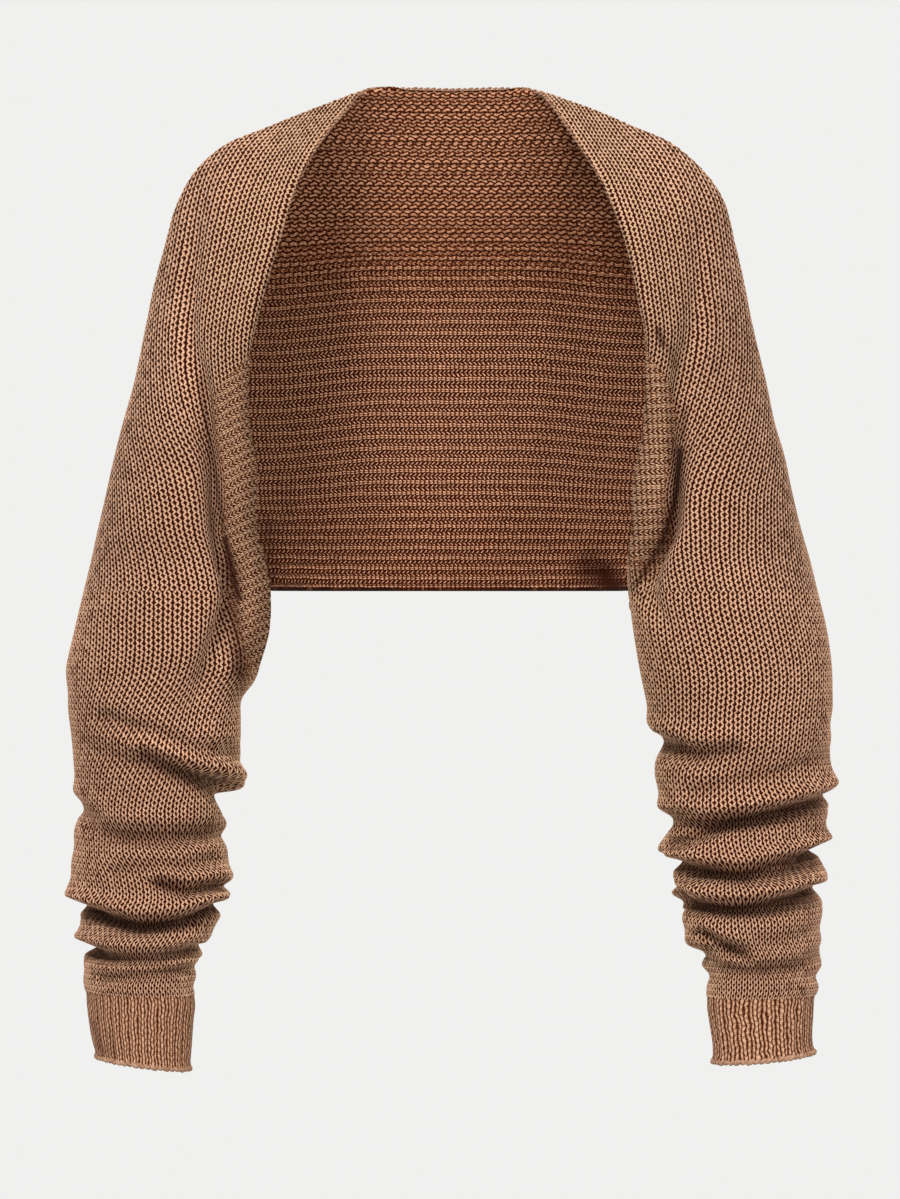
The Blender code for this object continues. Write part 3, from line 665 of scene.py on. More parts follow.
def ridge_shares(cloth, rows, ridges):
    """Shares where the level ridges of the back cross each row, and where it starts."""
    start = cloth.side_share(rows) * (rows > cloth.neck)
    shares = np.empty((len(rows), len(ridges)))
    dense = start[:, None] + (1 - start[:, None]) * np.linspace(0, 1, 240)[None, :]
    points = cloth.base(rows, dense)[0]
    aside = smooth((np.abs(points[..., 0]) - DROOP_FROM) / DROOP_SPAN)
    middle = smooth((DROOP_TOP - points[..., 2]) / DROOP_EASE)
    middle = middle * smooth((points[..., 2] - DROOP_LOW) / DROOP_EASE)
    level = points[..., 2] + DROOP * aside * middle
    number = np.interp(-level, -RIDGE_HEIGHTS, RIDGE_COUNT)
    steps = np.arange(len(ridges)) * 1e-5
    for i in range(len(rows)):
        rising = np.maximum.accumulate(number[i] + np.arange(240) * 1e-6)
        shares[i] = np.interp(ridges, rising, dense[i])
        shares[i] = np.minimum(np.maximum(shares[i], start[i] + steps), 1.0)
        shares[i, -1] = 1.0
    return shares, start


class Layer:
    """One face of a cloth piece: a grid of points with its wale and course numbers."""

    def __init__(self, points, wales, courses, face, ring):
        self.points, self.wales, self.courses = points, wales, courses
        self.face, self.ring = face, ring
        self.past = self.back_courses = None
        self.shade = np.zeros(points.shape[:2])
        self.columns = points.shape[1] - (1 if ring else 0)

    def corners(self):
        """Rows and columns of each face's four corners."""
        rows = self.points.shape[0]
        i, j = np.meshgrid(np.arange(rows - 1), np.arange(self.points.shape[1] - 1),
                           indexing="ij")
        i, j = i.ravel(), j.ravel()
        steps = ((0, 0), (0, 1), (1, 1), (1, 0))
        if self.face == INNER:
            steps = steps[::-1]
        return (np.stack([i + a for a, _ in steps], 1), np.stack([j + b for _, b in steps], 1))


def zipped(first, second, points, turned):
    """Triangles between two rims of points whose counts may differ, by the shorter way."""
    faces, a, b = [], 0, 0
    while a < len(first) - 1 or b < len(second) - 1:
        last_a, last_b = a == len(first) - 1, b == len(second) - 1
        if not (last_a or last_b):
            ahead_a = np.linalg.norm(points[first[a + 1]] - points[second[b]])
            ahead_b = np.linalg.norm(points[second[b + 1]] - points[first[a]])
        if last_b or (not last_a and ahead_a <= ahead_b):
            face = (first[a + 1], first[a], second[b])
            a += 1
        else:
            face = (second[b], second[b + 1], first[a])
            b += 1
        faces.append(face[::-1] if turned else face)
    return faces


def cloth_object(name, outer, inner, materials, joints=()):
    """A closed cloth piece from its two faces and the rims between them."""
    layers = (outer, inner)
    base = [0, outer.points.shape[0] * outer.columns]
    points = np.concatenate([k.points[:, :k.columns].reshape(-1, 3) for k in layers])
    loops, uvs, sizes, slots = [], [], [], []
    for layer, shift in zip(layers, base):
        i, j = layer.corners()
        loops.append((shift + i * layer.columns + j % layer.columns).ravel())
        course = layer.courses[i, j]
        if layer.past is not None:
            lies_past = layer.past[i, j].mean(axis=1) > 0.5
            course = np.where(lies_past[:, None], layer.back_courses[i, j], course)
        uvs.append(np.stack((layer.wales[i, j], course), -1).reshape(-1, 2))
        sizes.append(np.full(len(i), 4))
        slots.append(np.full(len(i), layer.face))

    def rim(layer, shift, row=None, column=None):
        if row is not None:
            j = np.arange(layer.points.shape[1])
            i = np.full(len(j), row % layer.points.shape[0])
        else:
            i = np.arange(layer.points.shape[0])
            j = np.full(len(i), column % layer.points.shape[1])
        return shift + i * layer.columns + j % layer.columns

    ends = [(dict(row=0), False), (dict(row=-1), True)]
    if not outer.ring:
        ends += [(dict(column=0), True), (dict(column=-1), False)]
    flat_uv = np.concatenate([np.stack((k.wales[:, :k.columns], k.courses[:, :k.columns]), -1)
                              .reshape(-1, 2) for k in layers])
    is_joint = np.zeros(len(points), bool)
    for place, turned in ends:
        sides = [rim(k, shift, **place) for k, shift in zip(layers, base)]
        tri = np.array(zipped(*sides, points, turned))
        loops.append(tri.ravel())
        uv = flat_uv[tri.ravel()]
        if "column" in place:
            wale = FREE_RIM_WALE if place["column"] == 0 else RIDGES - HEM_RIM_RIDGES
            uv = np.stack((np.full(len(uv), wale), uv[:, 1]), -1)
        uvs.append(uv)
        sizes.append(np.full(len(tri), 3))
        slots.append(np.full(len(tri), INNER if place.get("column") == -1 else OUTER))
        if place.get("row") in joints:
            is_joint[np.concatenate(sides)] = True
    loops, sizes = np.concatenate(loops), np.concatenate(sizes)
    mesh = bpy.data.meshes.new(name)
    mesh.vertices.add(len(points))
    mesh.vertices.foreach_set("co", points.astype(np.float32).ravel())
    mesh.loops.add(len(loops))
    mesh.loops.foreach_set("vertex_index", loops.astype(np.int32))
    mesh.polygons.add(len(sizes))
    starts = np.concatenate(([0], np.cumsum(sizes)[:-1]))
    mesh.polygons.foreach_set("loop_start", starts.astype(np.int32))
    mesh.polygons.foreach_set("material_index", np.concatenate(slots).astype(np.int32))
    mesh.update(calc_edges=True)
    mesh.uv_layers.new(name="Knit").data.foreach_set(
        "uv", np.concatenate(uvs).astype(np.float32).ravel())
    shade = np.concatenate([k.shade[:, :k.columns].ravel() for k in layers])
    mesh.attributes.new("shade", "FLOAT", "POINT").data.foreach_set(
        "value", shade.astype(np.float32))
    edges = np.empty(len(mesh.edges) * 2, np.int32)
    mesh.edges.foreach_get("vertices", edges)
    edges = edges.reshape(-1, 2)
    mesh.edges.foreach_set("use_edge_sharp", is_joint[edges].all(axis=1))
    for each in materials:
        mesh.materials.append(each)
    if signed_volume(points, loops[:4 * (sizes == 4).sum()].reshape(-1, 4)) < 0:
        mesh.flip_normals()
    made = bpy.data.objects.new(name, mesh)
    bpy.context.scene.collection.objects.link(made)
    return made


def signed_volume(points, quads):
    a, b, c, d = (points[quads[:, k]] for k in range(4))
    return (np.cross(b - a, c - a) * a).sum() + (np.cross(c - a, d - a) * a).sum()


def rows_for(start, stop, pitch, per_course):
    """Stations of rows and their course numbers, whole courses between the two ends."""
    courses = max(1, round((stop - start) / pitch))
    count = courses * per_course + 1
    return np.linspace(start, stop, count), np.linspace(0, courses, count)


def wale_lengths(cloth, rows, shares):
    """Length along each wale from the centre back, for the courses of the back panel."""
    at = np.concatenate((np.linspace(0, rows[0], 12)[:-1], rows)) if rows[0] > 0 else rows
    lead = np.repeat(shares[:1], len(at) - len(rows), axis=0)
    points = cloth.base(at, np.concatenate((lead, shares)))[0]
    return travelled(points, 0)[len(at) - len(rows):]


def outer_face(cloth, rows, courses, sizes, per_wale, ring, over_back):
    """The outer face of one side's cloth, with its stitches as relief."""
    wales = np.arange(0, WALES * per_wale + 1) / per_wale
    if over_back:
        coarse = wales > BACK_WALE
        wales = np.concatenate((wales[~coarse], np.arange(BACK_WALE + 0.5, WALES + 0.1, 0.5)))
    wales = every_row(wales, rows)
    phase = courses[:, None] + 0 * wales
    bow, height = stitched(wales, phase, sizes)
    shares = shares_of(cloth, rows, wales, ring)
    if over_back:
        side = cloth.side_share(rows)[:, None]
        on_back = smooth((shares - side) / BACK_BLEND)
        plain = sizes.strand * (0.5 - 0.5 * np.cos(4 * pi * wales)) * BACK_RELIEF
        height = height * (1 - on_back) + plain * on_back
        bow = bow * (1 - on_back)
        past = shares > side + BACK_START
    if ring:
        down = (rows[:, None] - cloth.underarm) / (cloth.cuff - cloth.underarm)
        turn = SWAY[cloth.side] * np.sin(SWAY_TURNS * pi * down) * smooth(down * 4)
        past_joint = rows[:, None] - cloth.underarm
        turn = turn + DRIFT[cloth.side] * (1 - np.exp(-past_joint / DRIFT_FADE))
        bow = bow + turn * smooth((1 - down) * 3)
        shares = shares_of(cloth, rows, (wales + bow) % WALES, True)
    else:
        shares = shares_of(cloth, rows, wales + bow)
    points, normal = cloth.grid(rows, shares, ring)
    points = points + normal * (WALL / 2 + height)[..., None]
    layer = Layer(points, wales, phase, OUTER, ring)
    layer.shade = shade_of(cloth, points, normal, shares)
    if over_back:
        layer.past = past
        layer.back_courses = cloth.sign * wale_lengths(cloth, rows, shares) / sizes.back_course
    return layer


def plain_inside(cloth, rows, courses):
    """The smooth inner face of a sleeve, its stitches only in the material."""
    wales = every_row(np.linspace(0, WALES, WALES * 2 + 1), rows)
    points, normal = cloth.grid(rows, shares_of(cloth, rows, wales), True)
    points = points - normal * (WALL / 2 + CREASE_ROOM)
    return Layer(points, wales, courses[:, None] + 0 * wales, INNER, True)


def ridged_inside(cloth, rows, sizes, with_front):
    """The inner face of the back with its level ridges, and of the front before it."""
    ridges = np.linspace(0, RIDGES, RIDGES * RIDGE_COLUMNS + 1)
    shares, start = ridge_shares(cloth, rows, ridges)
    numbers = every_row(ridges, rows)
    lift = sizes.ridge * (0.5 + 0.5 * np.cos(2 * pi * numbers)) ** 1.5
    low = smooth((numbers / RIDGES - RIDGE_DEEPENS) / RIDGE_DEEPENS_OVER)
    lift = lift * (RIDGE_SHARE + RIDGE_EXTRA * low) - RIDGE_SUNK * sizes.ridge
    if with_front:
        front = start[:, None] * np.linspace(0, 1, FRONT_INSIDE_COLUMNS + 1)[None, :-1]
        shares = np.concatenate((front, shares), axis=1)
        before = every_row(np.arange(-FRONT_INSIDE_COLUMNS, 0), rows)
        numbers = np.concatenate((before, numbers), axis=1)
        lift = np.concatenate((CREASE_ROOM + np.zeros(front.shape), lift), axis=1)
    lift = lift * smooth((1 - shares) / HEM_EASE)
    points, normal = cloth.grid(rows, shares, False)
    points = points - normal * (WALL / 2 + lift)[..., None]
    courses = cloth.sign * wale_lengths(cloth, rows, shares) / sizes.back_course
    layer = Layer(points, numbers, courses, INNER, False)
    layer.shade = shadows(INNER_SHADOWS[cloth.side], points) * (shares > 0.5)
    return layer


def cuff_grid(cloth, rows, per_rib):
    """Points, normals, shares and rib numbers of a cuff, so many columns to a rib."""
    count = CUFF_RIBS[cloth.side]
    shares = every_row(np.linspace(0, 1, count * per_rib + 1), rows)
    return (*cloth.grid(rows, shares, True), shares, shares * count)


def merged(left, right):
    """The two sides of a piece that crosses the centre back, as one grid."""
    points = np.concatenate((left.points[::-1], right.points[1:]))
    wales = np.concatenate((left.wales[::-1], right.wales[1:]))
    courses = np.concatenate((left.courses[::-1], right.courses[1:]))
    layer = Layer(points, wales, courses, left.face, False)
    layer.shade = np.concatenate((left.shade[::-1], right.shade[1:]))
    return layer


def finished(obj, nodes):
    """Attaches a piece to the body and hides the parts that it replaces."""
    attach(obj, BODY)
    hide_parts(*nodes)


class Nodes:
    """Short names for making the nodes of one tree."""

    def __init__(self, tree):
        self.tree = tree
        tree.nodes.clear()

    def new(self, kind, sockets=None, **values):
        """A node with these values and with these inputs, by name or number."""
        node = self.tree.nodes.new(kind)
        for key, value in values.items():
            setattr(node, key, value)
        for key, value in (sockets or {}).items():
            if isinstance(value, bpy.types.NodeSocket):
                self.tree.links.new(value, node.inputs[key])
            else:
                node.inputs[key].default_value = value
        return node

    def math(self, operation, *values, clamp=False):
        return self.new("ShaderNodeMath", dict(enumerate(values)), operation=operation,
                        use_clamp=clamp).outputs[0]

    def mul(self, a, b):
        return self.math("MULTIPLY", a, b)

    def sub(self, a, b):
        return self.math("SUBTRACT", a, b)

    def fma(self, a, b, more):
        return self.math("MULTIPLY_ADD", a, b, more)

    def sin(self, a):
        return self.math("SINE", a)

    def cos(self, a):
        return self.math("COSINE", a)

    def off_whole(self, a):
        """Distance to the nearest whole number."""
        return self.math("ABSOLUTE", self.sub(a, self.math("ROUND", a)))

    def ramp(self, value, low, high, start=0.0, stop=1.0):
        """Smooth step of a value from low to high."""
        return self.new("ShaderNodeMapRange", dict(enumerate((value, low, high, start, stop))),
                        interpolation_type="SMOOTHSTEP").outputs[0]

    def mix(self, share, first, second):
        return self.new("ShaderNodeMix", {0: share, 6: first, 7: second},
                        data_type="RGBA").outputs[2]

    def noise(self, place, scale, detail=2.0):
        return self.new("ShaderNodeTexNoise", {"Vector": place, "Scale": scale,
                                               "Detail": detail}).outputs["Fac"]

    def split(self, vector):
        return self.new("ShaderNodeSeparateXYZ", {0: vector}).outputs


def chain_tree():
    """Geometry Nodes: one leaning stitch after another along the edges of a piece."""
    tree = bpy.data.node_groups.new("edge_chain", "GeometryNodeTree")
    face = tree.interface
    for name, kind, value in (("Edges", "Geometry", None), ("Pitch", "Float", 4.6 * MM),
                              ("Width", "Float", 2.6 * MM), ("Lean", "Float", 0.42),
                              ("Seed", "Int", 7), ("Yarn", "Material", None)):
        socket = face.new_socket(name, in_out="INPUT", socket_type="NodeSocket" + kind)
        if value is not None:
            socket.default_value = value
    face.new_socket("Chain", in_out="OUTPUT", socket_type="NodeSocketGeometry")
    n = Nodes(tree)
    given = n.new("NodeGroupInput").outputs
    curve = n.new("GeometryNodeMeshToCurve", {"Mesh": given["Edges"]})
    points = n.new("GeometryNodeCurveToPoints",
                   {"Curve": curve.outputs[0], "Length": given["Pitch"]}, mode="LENGTH")
    stitch = n.new("GeometryNodeMeshUVSphere", {"Segments": 8, "Rings": 6, "Radius": 0.5})
    long = n.mul(given["Pitch"], STITCH_OVERLAP)
    size = n.new("ShaderNodeCombineXYZ", {0: given["Width"], 1: given["Width"], 2: long})
    vary = n.new("FunctionNodeRandomValue",
                 {2: STITCH_SIZES[0], 3: STITCH_SIZES[1], "Seed": given["Seed"]},
                 data_type="FLOAT")
    scaled = n.new("ShaderNodeVectorMath",
                   {0: size.outputs[0], "Scale": vary.outputs[1]}, operation="SCALE")
    placed = n.new("GeometryNodeInstanceOnPoints",
                   {"Points": points.outputs["Points"], "Instance": stitch.outputs["Mesh"],
                    "Rotation": points.outputs["Rotation"], "Scale": scaled.outputs[0]})
    lean = n.new("ShaderNodeCombineXYZ", {0: given["Lean"]})
    turned = n.new("GeometryNodeRotateInstances",
                   {"Instances": placed.outputs[0], "Rotation": lean.outputs[0]})
    real = n.new("GeometryNodeRealizeInstances", {0: turned.outputs[0]})
    dyed = n.new("GeometryNodeSetMaterial",
                 {"Geometry": real.outputs[0], "Material": given["Yarn"]})
    n.new("NodeGroupOutput", {0: dyed.outputs[0]})
    return tree


def edge_chain(name, path, sizes, slot, wider=1.0):
    """The finished edge of a piece: its chain of stitches as one plain mesh."""
    tree = bpy.data.node_groups.get("edge_chain") or chain_tree()
    mesh = bpy.data.meshes.new(name + "_path")
    mesh.from_pydata([tuple(p) for p in path], [(k, k + 1) for k in range(len(path) - 1)], [])
    source = bpy.data.objects.new(name + "_path", mesh)
    bpy.context.scene.collection.objects.link(source)
    modifier = source.modifiers.new("chain", "NODES")
    modifier.node_group = tree
    colours = bpy.context.scene.cardigan_colours
    # The chain by the back of the neck takes a darker copy of the inner yarn: painted shade.
    yarn = (chain_yarn("yarn_chain_shaded", tuple(c * NECK_CHAIN_SHADE for c in colours.inside))
            if slot == "back_cloth" else chain_yarn("yarn_chain", tuple(colours.outside)))
    values = {"Pitch": sizes.chain_pitch, "Width": sizes.chain_width * wider, "Yarn": yarn}
    for item in tree.interface.items_tree:
        if item.in_out == "INPUT" and item.name in values:
            modifier[item.identifier] = values[item.name]
    bpy.context.view_layer.update()
    depsgraph = bpy.context.evaluated_depsgraph_get()
    made = bpy.data.meshes.new_from_object(source.evaluated_get(depsgraph))
    bpy.data.objects.remove(source)
    made.polygons.foreach_set("use_smooth", [True] * len(made.polygons))
    made.update()
    obj = bpy.data.objects.new(name, made)
    bpy.context.scene.collection.objects.link(obj)
    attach(obj, BODY)
    return obj


def free_edge(cloth, rows):
    """The middle of the cloth along its free edge."""
    return cloth.grid(rows, np.zeros((len(rows), 1)))[0][:, 0]


def strand_pattern(n, wale, course, uneven):
    """Yarn height from 0 to 1 of wavy strands round narrow, uneven, staggered holes. It sets
    the colour too, so its holes, the valleys between wales and the tucks are painted shade.
    """
    turn = n.mul(course, 2 * pi)
    wave = n.cos(turn)
    side = n.off_whole(wale)
    skew = n.fma(n.sin(n.mul(turn, 2.0)), 0.25, wave)
    middle = n.fma(skew, STRAND_BOW, STRAND_MIDDLE)
    off = n.math("DIVIDE", n.sub(side, middle), STRAND_HALF)
    strand = n.math("SUBTRACT", 1.0, n.mul(off, off), clamp=True)
    across = n.cos(n.mul(wale, 2 * pi))
    lean = n.mul(n.math("SIGN", across), wave)
    lean = n.fma(across, 0.30, lean)
    hole = n.mul(n.ramp(n.math("ABSOLUTE", across), 0.72, 1.0),
                  n.ramp(lean, -1.00, 0.00))
    hole = n.mul(hole, n.ramp(across, -0.5, 0.5, 0.88, 1.0))
    tuck = n.ramp(n.cos(n.fma(side, -9.0, turn)), 0.10, 1.0)
    hole = n.mul(hole, n.ramp(uneven, 0.35, 0.60, 0.45, 1.0))
    height = n.mul(strand, n.fma(hole, -HOLE_DEPTH, 1.0))
    height = n.mul(height, n.fma(tuck, -0.18, 1.0))
    # Painted shade along the valleys between the wales
    valley = n.ramp(across, 0.60, 1.0, 1.0, n.ramp(uneven, 0.35, 0.60, 0.62, 0.30))
    return n.mul(height, valley), off


def rib_pattern(n, wale, course):
    """Yarn height of a cuff's ribs: three fine strands each, the outer two higher."""
    away = n.off_whole(wale)
    off = n.cos(n.mul(wale, 6 * pi))
    slant = n.mul(n.fma(away, 1.6, course), 2 * pi)
    stitch = n.ramp(n.sin(slant), -1.0, 0.0, 0.72, 1.0)
    height = n.mul(n.ramp(off, -1.0, 0.15, 0.25, 1.0), stitch)
    # The valleys between the ribs are darkened: painted shade
    valley = n.ramp(n.cos(n.mul(wale, 2 * pi)), -1.0, -0.45, 0.62, 1.0)
    return n.mul(height, valley), off


def ridge_pattern(n, wale, course, top):
    """Yarn height of fine double ridges with a chain of slanting legs between them.

    Towards the neck, where top is 1, they close up into wavy strands."""
    away = n.off_whole(wale)
    off = n.math("DIVIDE", n.sub(away, 0.088), 0.080)
    ridge = n.math("SQRT", n.math("SUBTRACT", 1.0, n.mul(off, off), clamp=True))
    beat = n.sin(n.mul(n.fma(off, 0.12, course), 2 * pi))
    ridge = n.mul(ridge, n.fma(n.ramp(beat, -0.9, 0.1), 0.55, 0.45))
    slant = n.mul(n.fma(away, 2.6, course), 2 * pi)
    legs = n.ramp(n.sin(slant), -0.45, 0.75)
    low = n.mul(n.ramp(away, 0.17, 0.27), n.ramp(away, 0.50, 0.42, 0.35, 1.0))
    # The legs a little darker towards the hem: painted shade
    legs = n.mul(n.mul(legs, low), n.ramp(wale, 40.0, 50.0, 0.84, 0.80))
    apart = n.math("MAXIMUM", ridge, legs)
    lines = n.ramp(n.cos(n.mul(wale, 4 * pi)), -1.0, 0.25, 0.20, 0.74)
    row = n.math("ROUND", n.mul(wale, 2.0))
    beat = n.fma(course, 0.95 * pi, n.mul(row, 2.2))
    beat = n.ramp(n.sin(beat), -1.0, -0.35, 0.48, 1.0)
    close = n.mul(lines, beat)
    change = n.mul(n.sub(close, apart), top)
    # Darker towards the hem of the inside of the back: painted shade
    hem_shade = n.ramp(wale, 38.0, 50.0, 1.0, 0.90)
    return n.mul(n.math("ADD", apart, change), hem_shade), off


def turned_strip(n, wale, place, sway):
    """Where the strip by the free edge is turned over, and its slanting wales and courses."""
    x, _, z = n.split(place)
    low = n.ramp(x, -0.05, 0.05, STRIP_END["left"], STRIP_END["right"])
    wide = n.ramp(z, STRIP_TOP, STRIP_FULL, -1.5, STRIP_WALES)
    beside = n.ramp(n.sub(wide, wale), -0.8, 0.8)
    strip = n.mul(beside, n.ramp(n.sub(z, low), -0.015, 0.025))
    slope = n.ramp(x, -0.05, 0.05, STRIP_SLOPE["left"], STRIP_SLOPE["right"])
    level = n.fma(x, slope, z)
    across = n.fma(level, 1 / STRIP_WALE, n.mul(sway, 0.5))
    aslant = n.sub(x, n.mul(z, slope))
    return strip, across, n.mul(aslant, 1 / STRIP_COURSE)


def blank_yarn(name):
    """A material, the maker of its nodes, and the place on the object."""
    material = bpy.data.materials.new(name)
    material.use_nodes = True
    n = Nodes(material.node_tree)
    return material, n, n.new("ShaderNodeTexCoord").outputs["Object"]


def yarn_material(name, light, deep):
    """Plied yarn over holes in painted shade, drawn on the wale and course numbers."""
    material, n, place = blank_yarn(name)
    wale, course, _ = n.split(n.new("ShaderNodeUVMap", uv_map="Knit").outputs["UV"])
    wander = n.sub(n.noise(place, 70.0), 0.5)
    course = n.fma(wander, 0.9 if name == "yarn_inside" else 0.5, course)
    sway = n.sub(n.noise(place, 150.0), 0.5)
    wide = n.fma(sway, 0.45 if name == "yarn_rib" else 0.25, wale)
    if name == "yarn_inside":
        shift = n.sin(n.mul(n.math("ROUND", wale), 12.9))
        course = n.fma(shift, 2.0, course)
        top = n.ramp(wale, 31.0, 15.0)
        swing = n.sin(n.mul(course, 0.95 * pi))
        wide = n.fma(n.mul(swing, top), 0.11, wide)
        height, off = ridge_pattern(n, wide, course, top)
    elif name == "yarn_rib":
        height, off = rib_pattern(n, wide, course)
    else:
        uneven = n.noise(place, 230.0)
        height, off = strand_pattern(n, wide, course, uneven)
        strip, across, along = turned_strip(n, wale, place, sway)
        turned = ridge_pattern(n, across, along, 0.0)[0]
        turned = n.fma(turned, 0.74, 0.25)
        height = n.fma(n.sub(turned, height), strip, height)
    ply = n.fma(course, 3.0, n.mul(off, 0.35))
    twist = n.sin(n.mul(ply, 2 * pi))
    fibre = n.noise(place, 1400.0, 3.0)
    worn = n.noise(place, 420.0, 1.0)
    # The ply twist adds painted highlights and shade along the plies to the colour, and bumps
    # to the relief
    shade = n.fma(twist, 0.15, height)
    shade = n.fma(n.sub(fibre, 0.5), 0.35, shade)
    shade = n.fma(n.sub(worn, 0.5), 0.42, shade)
    if name == "yarn_rib":
        shade = n.fma(shade, 0.62, 0.17)
    shade = n.ramp(shade, *((0.20, 1.00) if name == "yarn_inside" else (0.14, 0.98)))
    patches = n.ramp(n.noise(place, 9.0), 0.30, 0.70)
    paler = tuple(min(1.0, c * 1.08) for c in light)
    duller = tuple(c * 0.92 for c in light)
    yarn = n.mix(patches, (*duller, 1.0), (*paler, 1.0))
    if name == "yarn_outside":
        by_edge = n.mul(n.ramp(wale, 9.0, 6.0), 0.35)
        yarn = n.mix(by_edge, yarn, (*EDGE_YARN, 1.0))
    # The colour is painted from the relief: the yarn's colour on the strand tops, painted
    # shade down the flanks, near black in the holes
    half = tuple(c * k for c, k in zip(light, (0.37, 0.22, 0.12)))
    colour = n.mix(n.ramp(shade, 0.0, 0.55), (*deep, 1.0), (*half, 1.0))
    colour = n.mix(n.ramp(shade, 0.45, 1.0), colour, yarn)
    # Painted shade in the creases, crevices and hollows, from the shade attribute
    shaded = n.new("ShaderNodeAttribute", attribute_name="shade").outputs["Fac"]
    colour = n.mix(shaded, colour, (*deep, 1.0))
    relief = n.fma(twist, 0.08, n.fma(fibre, 0.22, height))
    return yarn_shader(n, material, colour, relief)


def yarn_shader(n, material, colour, relief):
    """Soft matt yarn with a little fuzz, over this colour and relief."""
    bump = n.new("ShaderNodeBump",
                 {"Strength": 0.9, "Distance": 0.9 * MM, "Height": relief}).outputs[0]
    shader = n.new("ShaderNodeBsdfPrincipled",
                   {"Base Color": colour, "Normal": bump, "Roughness": 0.88,
                    "Specular IOR Level": 0.06, "Sheen Weight": 0.02,
                    "Sheen Roughness": 0.45, "Sheen Tint": (*SHEEN, 1.0)})
    n.new("ShaderNodeOutputMaterial", {"Surface": shader.outputs[0]})
    return material


def chain_yarn(name, light):
    """Yarn of the edge chain, with twist and fuzz but no stitches of its own."""
    found = bpy.data.materials.get(name)
    if found:
        return found
    material, n, place = blank_yarn(name)
    fibre = n.noise(place, 900.0, 3.0)
    shade = n.ramp(n.fma(n.noise(place, 300.0), 0.8, fibre), 0.55, 1.15)
    half = tuple(c * k for c, k in zip(light, (0.35, 0.26, 0.20)))
    colour = n.mix(shade, (*half, 1.0), (*(c * 0.75 for c in light), 1.0))
    return yarn_shader(n, material, colour, n.mul(fibre, 0.6))


def garment_materials(outside="yarn_outside"):
    """The yarn of the two faces, made once and shared by the pieces."""
    colours = bpy.context.scene.cardigan_colours
    made = []
    for name, light, deep in ((outside, colours.outside, colours.outside_deep),
                              ("yarn_inside", colours.inside, colours.inside_deep)):
        found = bpy.data.materials.get(name)
        made.append(found or yarn_material(name, tuple(light), tuple(deep)))
    return made


FORMS = {side: Side(side) for side in SIDES}


class GARMENT_OT_centre(bpy.types.Operator):
    """Knits the centre of the back, between the two sides of the neck"""
    bl_idname = "garment.centre"
    bl_label = "Centre back"

    def execute(self, context):
        sizes = context.scene.cardigan_sizes
        faces = {OUTER: [], INNER: []}
        for side in SIDES:
            cloth = FORMS[side]
            rows, _ = rows_for(0, cloth.neck, sizes.course, 2)
            outer = outer_face(cloth, rows, rows, sizes, 4, False, True)
            outer.courses = outer.back_courses
            outer.past = None
            faces[OUTER].append(outer)
            faces[INNER].append(ridged_inside(cloth, rows, sizes, False))
        made = cloth_object("knit_back", merged(*faces[OUTER]), merged(*faces[INNER]),
                            garment_materials(), joints=(0, -1))
        lines = [free_edge(FORMS[side], np.linspace(0, FORMS[side].neck, 30))
                 for side in SIDES]
        path = np.concatenate((lines[0][::-1], lines[1][1:]))
        chain = edge_chain("edge_chain_back", path, sizes, "back_cloth")
        finished(made, ("back",))
        return {"FINISHED"}


class GARMENT_OT_shoulders(bpy.types.Operator):
    """Knits each side from the neck to the underarm, its front and its half of the back"""
    bl_idname = "garment.shoulders"
    bl_label = "Fronts and shoulders"

    def execute(self, context):
        sizes = context.scene.cardigan_sizes
        for side in SIDES:
            cloth = FORMS[side]
            rows, courses = rows_for(cloth.neck, cloth.underarm, sizes.course, 3)
            outer = outer_face(cloth, rows, courses, sizes, 4, False, True)
            rows, _ = rows_for(cloth.neck, cloth.underarm, sizes.course, 1)
            inner = ridged_inside(cloth, rows, sizes, True)
            made = cloth_object("knit_front_" + side, outer, inner, garment_materials(),
                                joints=(0, -1))
            along = np.linspace(cloth.neck, cloth.underarm, 120)
            chain = edge_chain("edge_chain_" + side, free_edge(cloth, along), sizes,
                               "front_cloth")
            finished(made, ("front_" + side,))
        return {"FINISHED"}


class GARMENT_OT_sleeves(bpy.types.Operator):
    """Knits each sleeve from the underarm to the cuff"""
    bl_idname = "garment.sleeves"
    bl_label = "Sleeves"

    def execute(self, context):
        sizes = context.scene.cardigan_sizes
        for side in SIDES:
            cloth = FORMS[side]
            rows, courses = rows_for(cloth.underarm, cloth.cuff, sizes.course, 4)
            outer = outer_face(cloth, rows, courses, sizes, 4, True, False)
            rows, courses = rows_for(cloth.underarm, cloth.cuff, sizes.course, 1)
            inner = plain_inside(cloth, rows, courses)
            made = cloth_object("knit_sleeve_" + side, outer, inner, garment_materials(),
                                joints=(0, -1))
            finished(made, ("sleeve_" + side,))
        return {"FINISHED"}


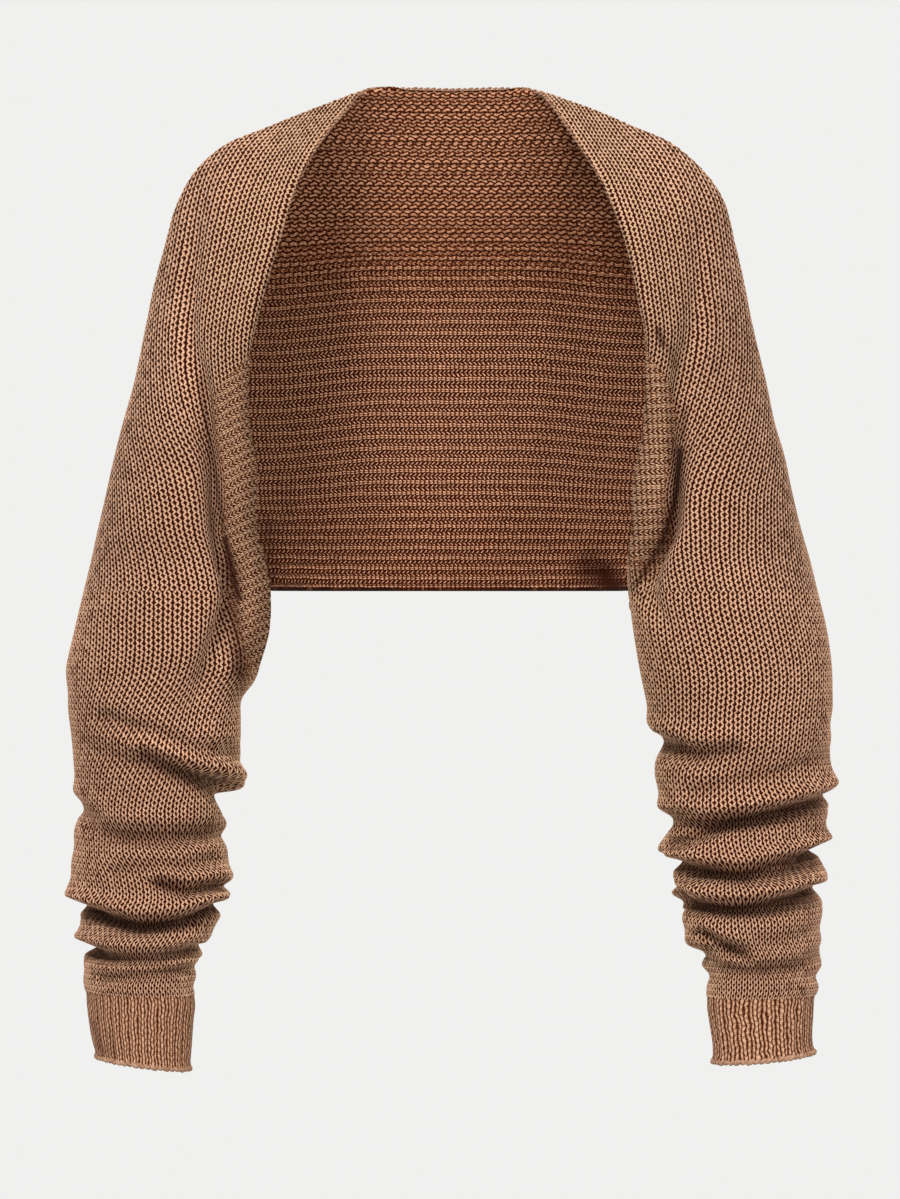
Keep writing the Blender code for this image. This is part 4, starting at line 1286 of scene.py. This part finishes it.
class GARMENT_OT_cuffs(bpy.types.Operator):
    """Knits the ribbed cuffs with their rolled edge"""
    bl_idname = "garment.cuffs"
    bl_label = "Cuffs"

    def execute(self, context):
        sizes = context.scene.cardigan_sizes
        for side in SIDES:
            cloth = FORMS[side]
            rows, courses = rows_for(cloth.cuff, cloth.end, sizes.course, 4)
            points, normal, shares, ribs = cuff_grid(cloth, rows, 8)
            down = np.linspace(0, 1, len(rows))[:, None]
            height = sizes.rib * (0.5 + 0.5 * np.cos(2 * pi * ribs)) * smooth((1 - down) * 6)
            roll = RIB_ROLL * smooth((down - RIB_ROLL_FROM) / (1 - RIB_ROLL_FROM))
            height = height * smooth(down * 5) + roll
            outer = Layer(points + normal * (WALL / 2 + height)[..., None], ribs,
                          courses[:, None] + 0 * ribs, OUTER, True)
            outer.shade = shade_of(cloth, outer.points, normal, shares)
            rows, courses = rows_for(cloth.cuff, cloth.end, sizes.course, 1)
            points, normal, _, ribs = cuff_grid(cloth, rows, 4)
            inner = Layer(points - normal * WALL / 2, ribs, courses[:, None] + 0 * ribs,
                          INNER, True)
            made = cloth_object("knit_cuff_" + side, outer, inner,
                                garment_materials("yarn_rib"), joints=(0,))
            around = np.linspace(0, 1, 97)[None, :]
            low = np.array([cloth.end - 0.5 * MM])
            points, normal = cloth.grid(low, around, True)
            line = points[0] + normal[0] * (WALL / 2 + RIB_ROLL * 0.5)
            chain = edge_chain("edge_chain_cuff_" + side, line, sizes, "cuff_rib", 1.5)
            finished(made, ("cuff_" + side,))
        return {"FINISHED"}


class GARMENT_OT_stage(bpy.types.Operator):
    """Sets the pale background, the soft lights and the camera"""
    bl_idname = "garment.stage"
    bl_label = "Stage"

    def execute(self, context):
        scene = context.scene
        world = bpy.data.worlds.new("studio")
        scene.world = world
        world.use_nodes = True
        back = world.node_tree.nodes["Background"]
        back.inputs["Color"].default_value = (0.998, 1.0, 0.990, 1.0)
        back.inputs["Strength"].default_value = 0.873
        for name, place, size, power in (
                ("key", (-0.9, -2.3, 2.2), 1.2, 105.0),
                ("fill", (1.6, -2.4, 0.9), 1.8, 30.0),
                ("rear", (0.6, 2.6, 1.6), 1.8, 30.0)):
            lamp = bpy.data.lights.new(name, "AREA")
            lamp.shape = "DISK"
            lamp.size = size
            lamp.energy = power
            made = bpy.data.objects.new(name, lamp)
            made.location = place
            aim = Vector((0, 0, -0.3)) - made.location
            made.rotation_euler = aim.to_track_quat("-Z", "Y").to_euler()
            scene.collection.objects.link(made)
        eye = bpy.data.cameras.new("photo_camera")
        eye.sensor_fit = "VERTICAL"
        eye.sensor_height = 36.0
        eye.lens = 120.0
        camera = bpy.data.objects.new("photo_camera", eye)
        camera.location = (-0.0015, -3.0, -0.3259)
        camera.rotation_euler = (pi / 2, 0, 0)
        scene.collection.objects.link(camera)
        scene.camera = camera
        scene.view_settings.view_transform = "Standard"
        return {"FINISHED"}


STEPS = (GARMENT_OT_centre, GARMENT_OT_shoulders, GARMENT_OT_sleeves, GARMENT_OT_cuffs,
         GARMENT_OT_stage)


class GARMENT_PT_panel(bpy.types.Panel):
    """Lists the steps and the sizes in the 3D view's sidebar"""
    bl_label = "Cropped cardigan"
    bl_idname = "GARMENT_PT_panel"
    bl_space_type = "VIEW_3D"
    bl_region_type = "UI"
    bl_category = "Cardigan"

    def draw(self, context):
        for group in (context.scene.cardigan_sizes, context.scene.cardigan_colours):
            for name in group.__annotations__:
                self.layout.prop(group, name)
        for step in STEPS:
            self.layout.operator(step.bl_idname)


CLASSES = (GarmentSizes, GarmentColours, *STEPS, GARMENT_PT_panel)


def register():
    for each in CLASSES:
        bpy.utils.register_class(each)
    bpy.types.Scene.cardigan_sizes = PointerProperty(type=GarmentSizes)
    bpy.types.Scene.cardigan_colours = PointerProperty(type=GarmentColours)


def unregister():
    del bpy.types.Scene.cardigan_colours
    del bpy.types.Scene.cardigan_sizes
    for each in reversed(CLASSES):
        bpy.utils.unregister_class(each)


def plain(box):
    return [[float(v) for v in corner] for corner in box]


def main():
    register()
    bpy.ops.garment.centre()
    bpy.ops.garment.shoulders()
    bpy.ops.garment.sleeves()
    bpy.ops.garment.cuffs()
    bpy.ops.garment.stage()


if __name__ == "__main__":
    main()
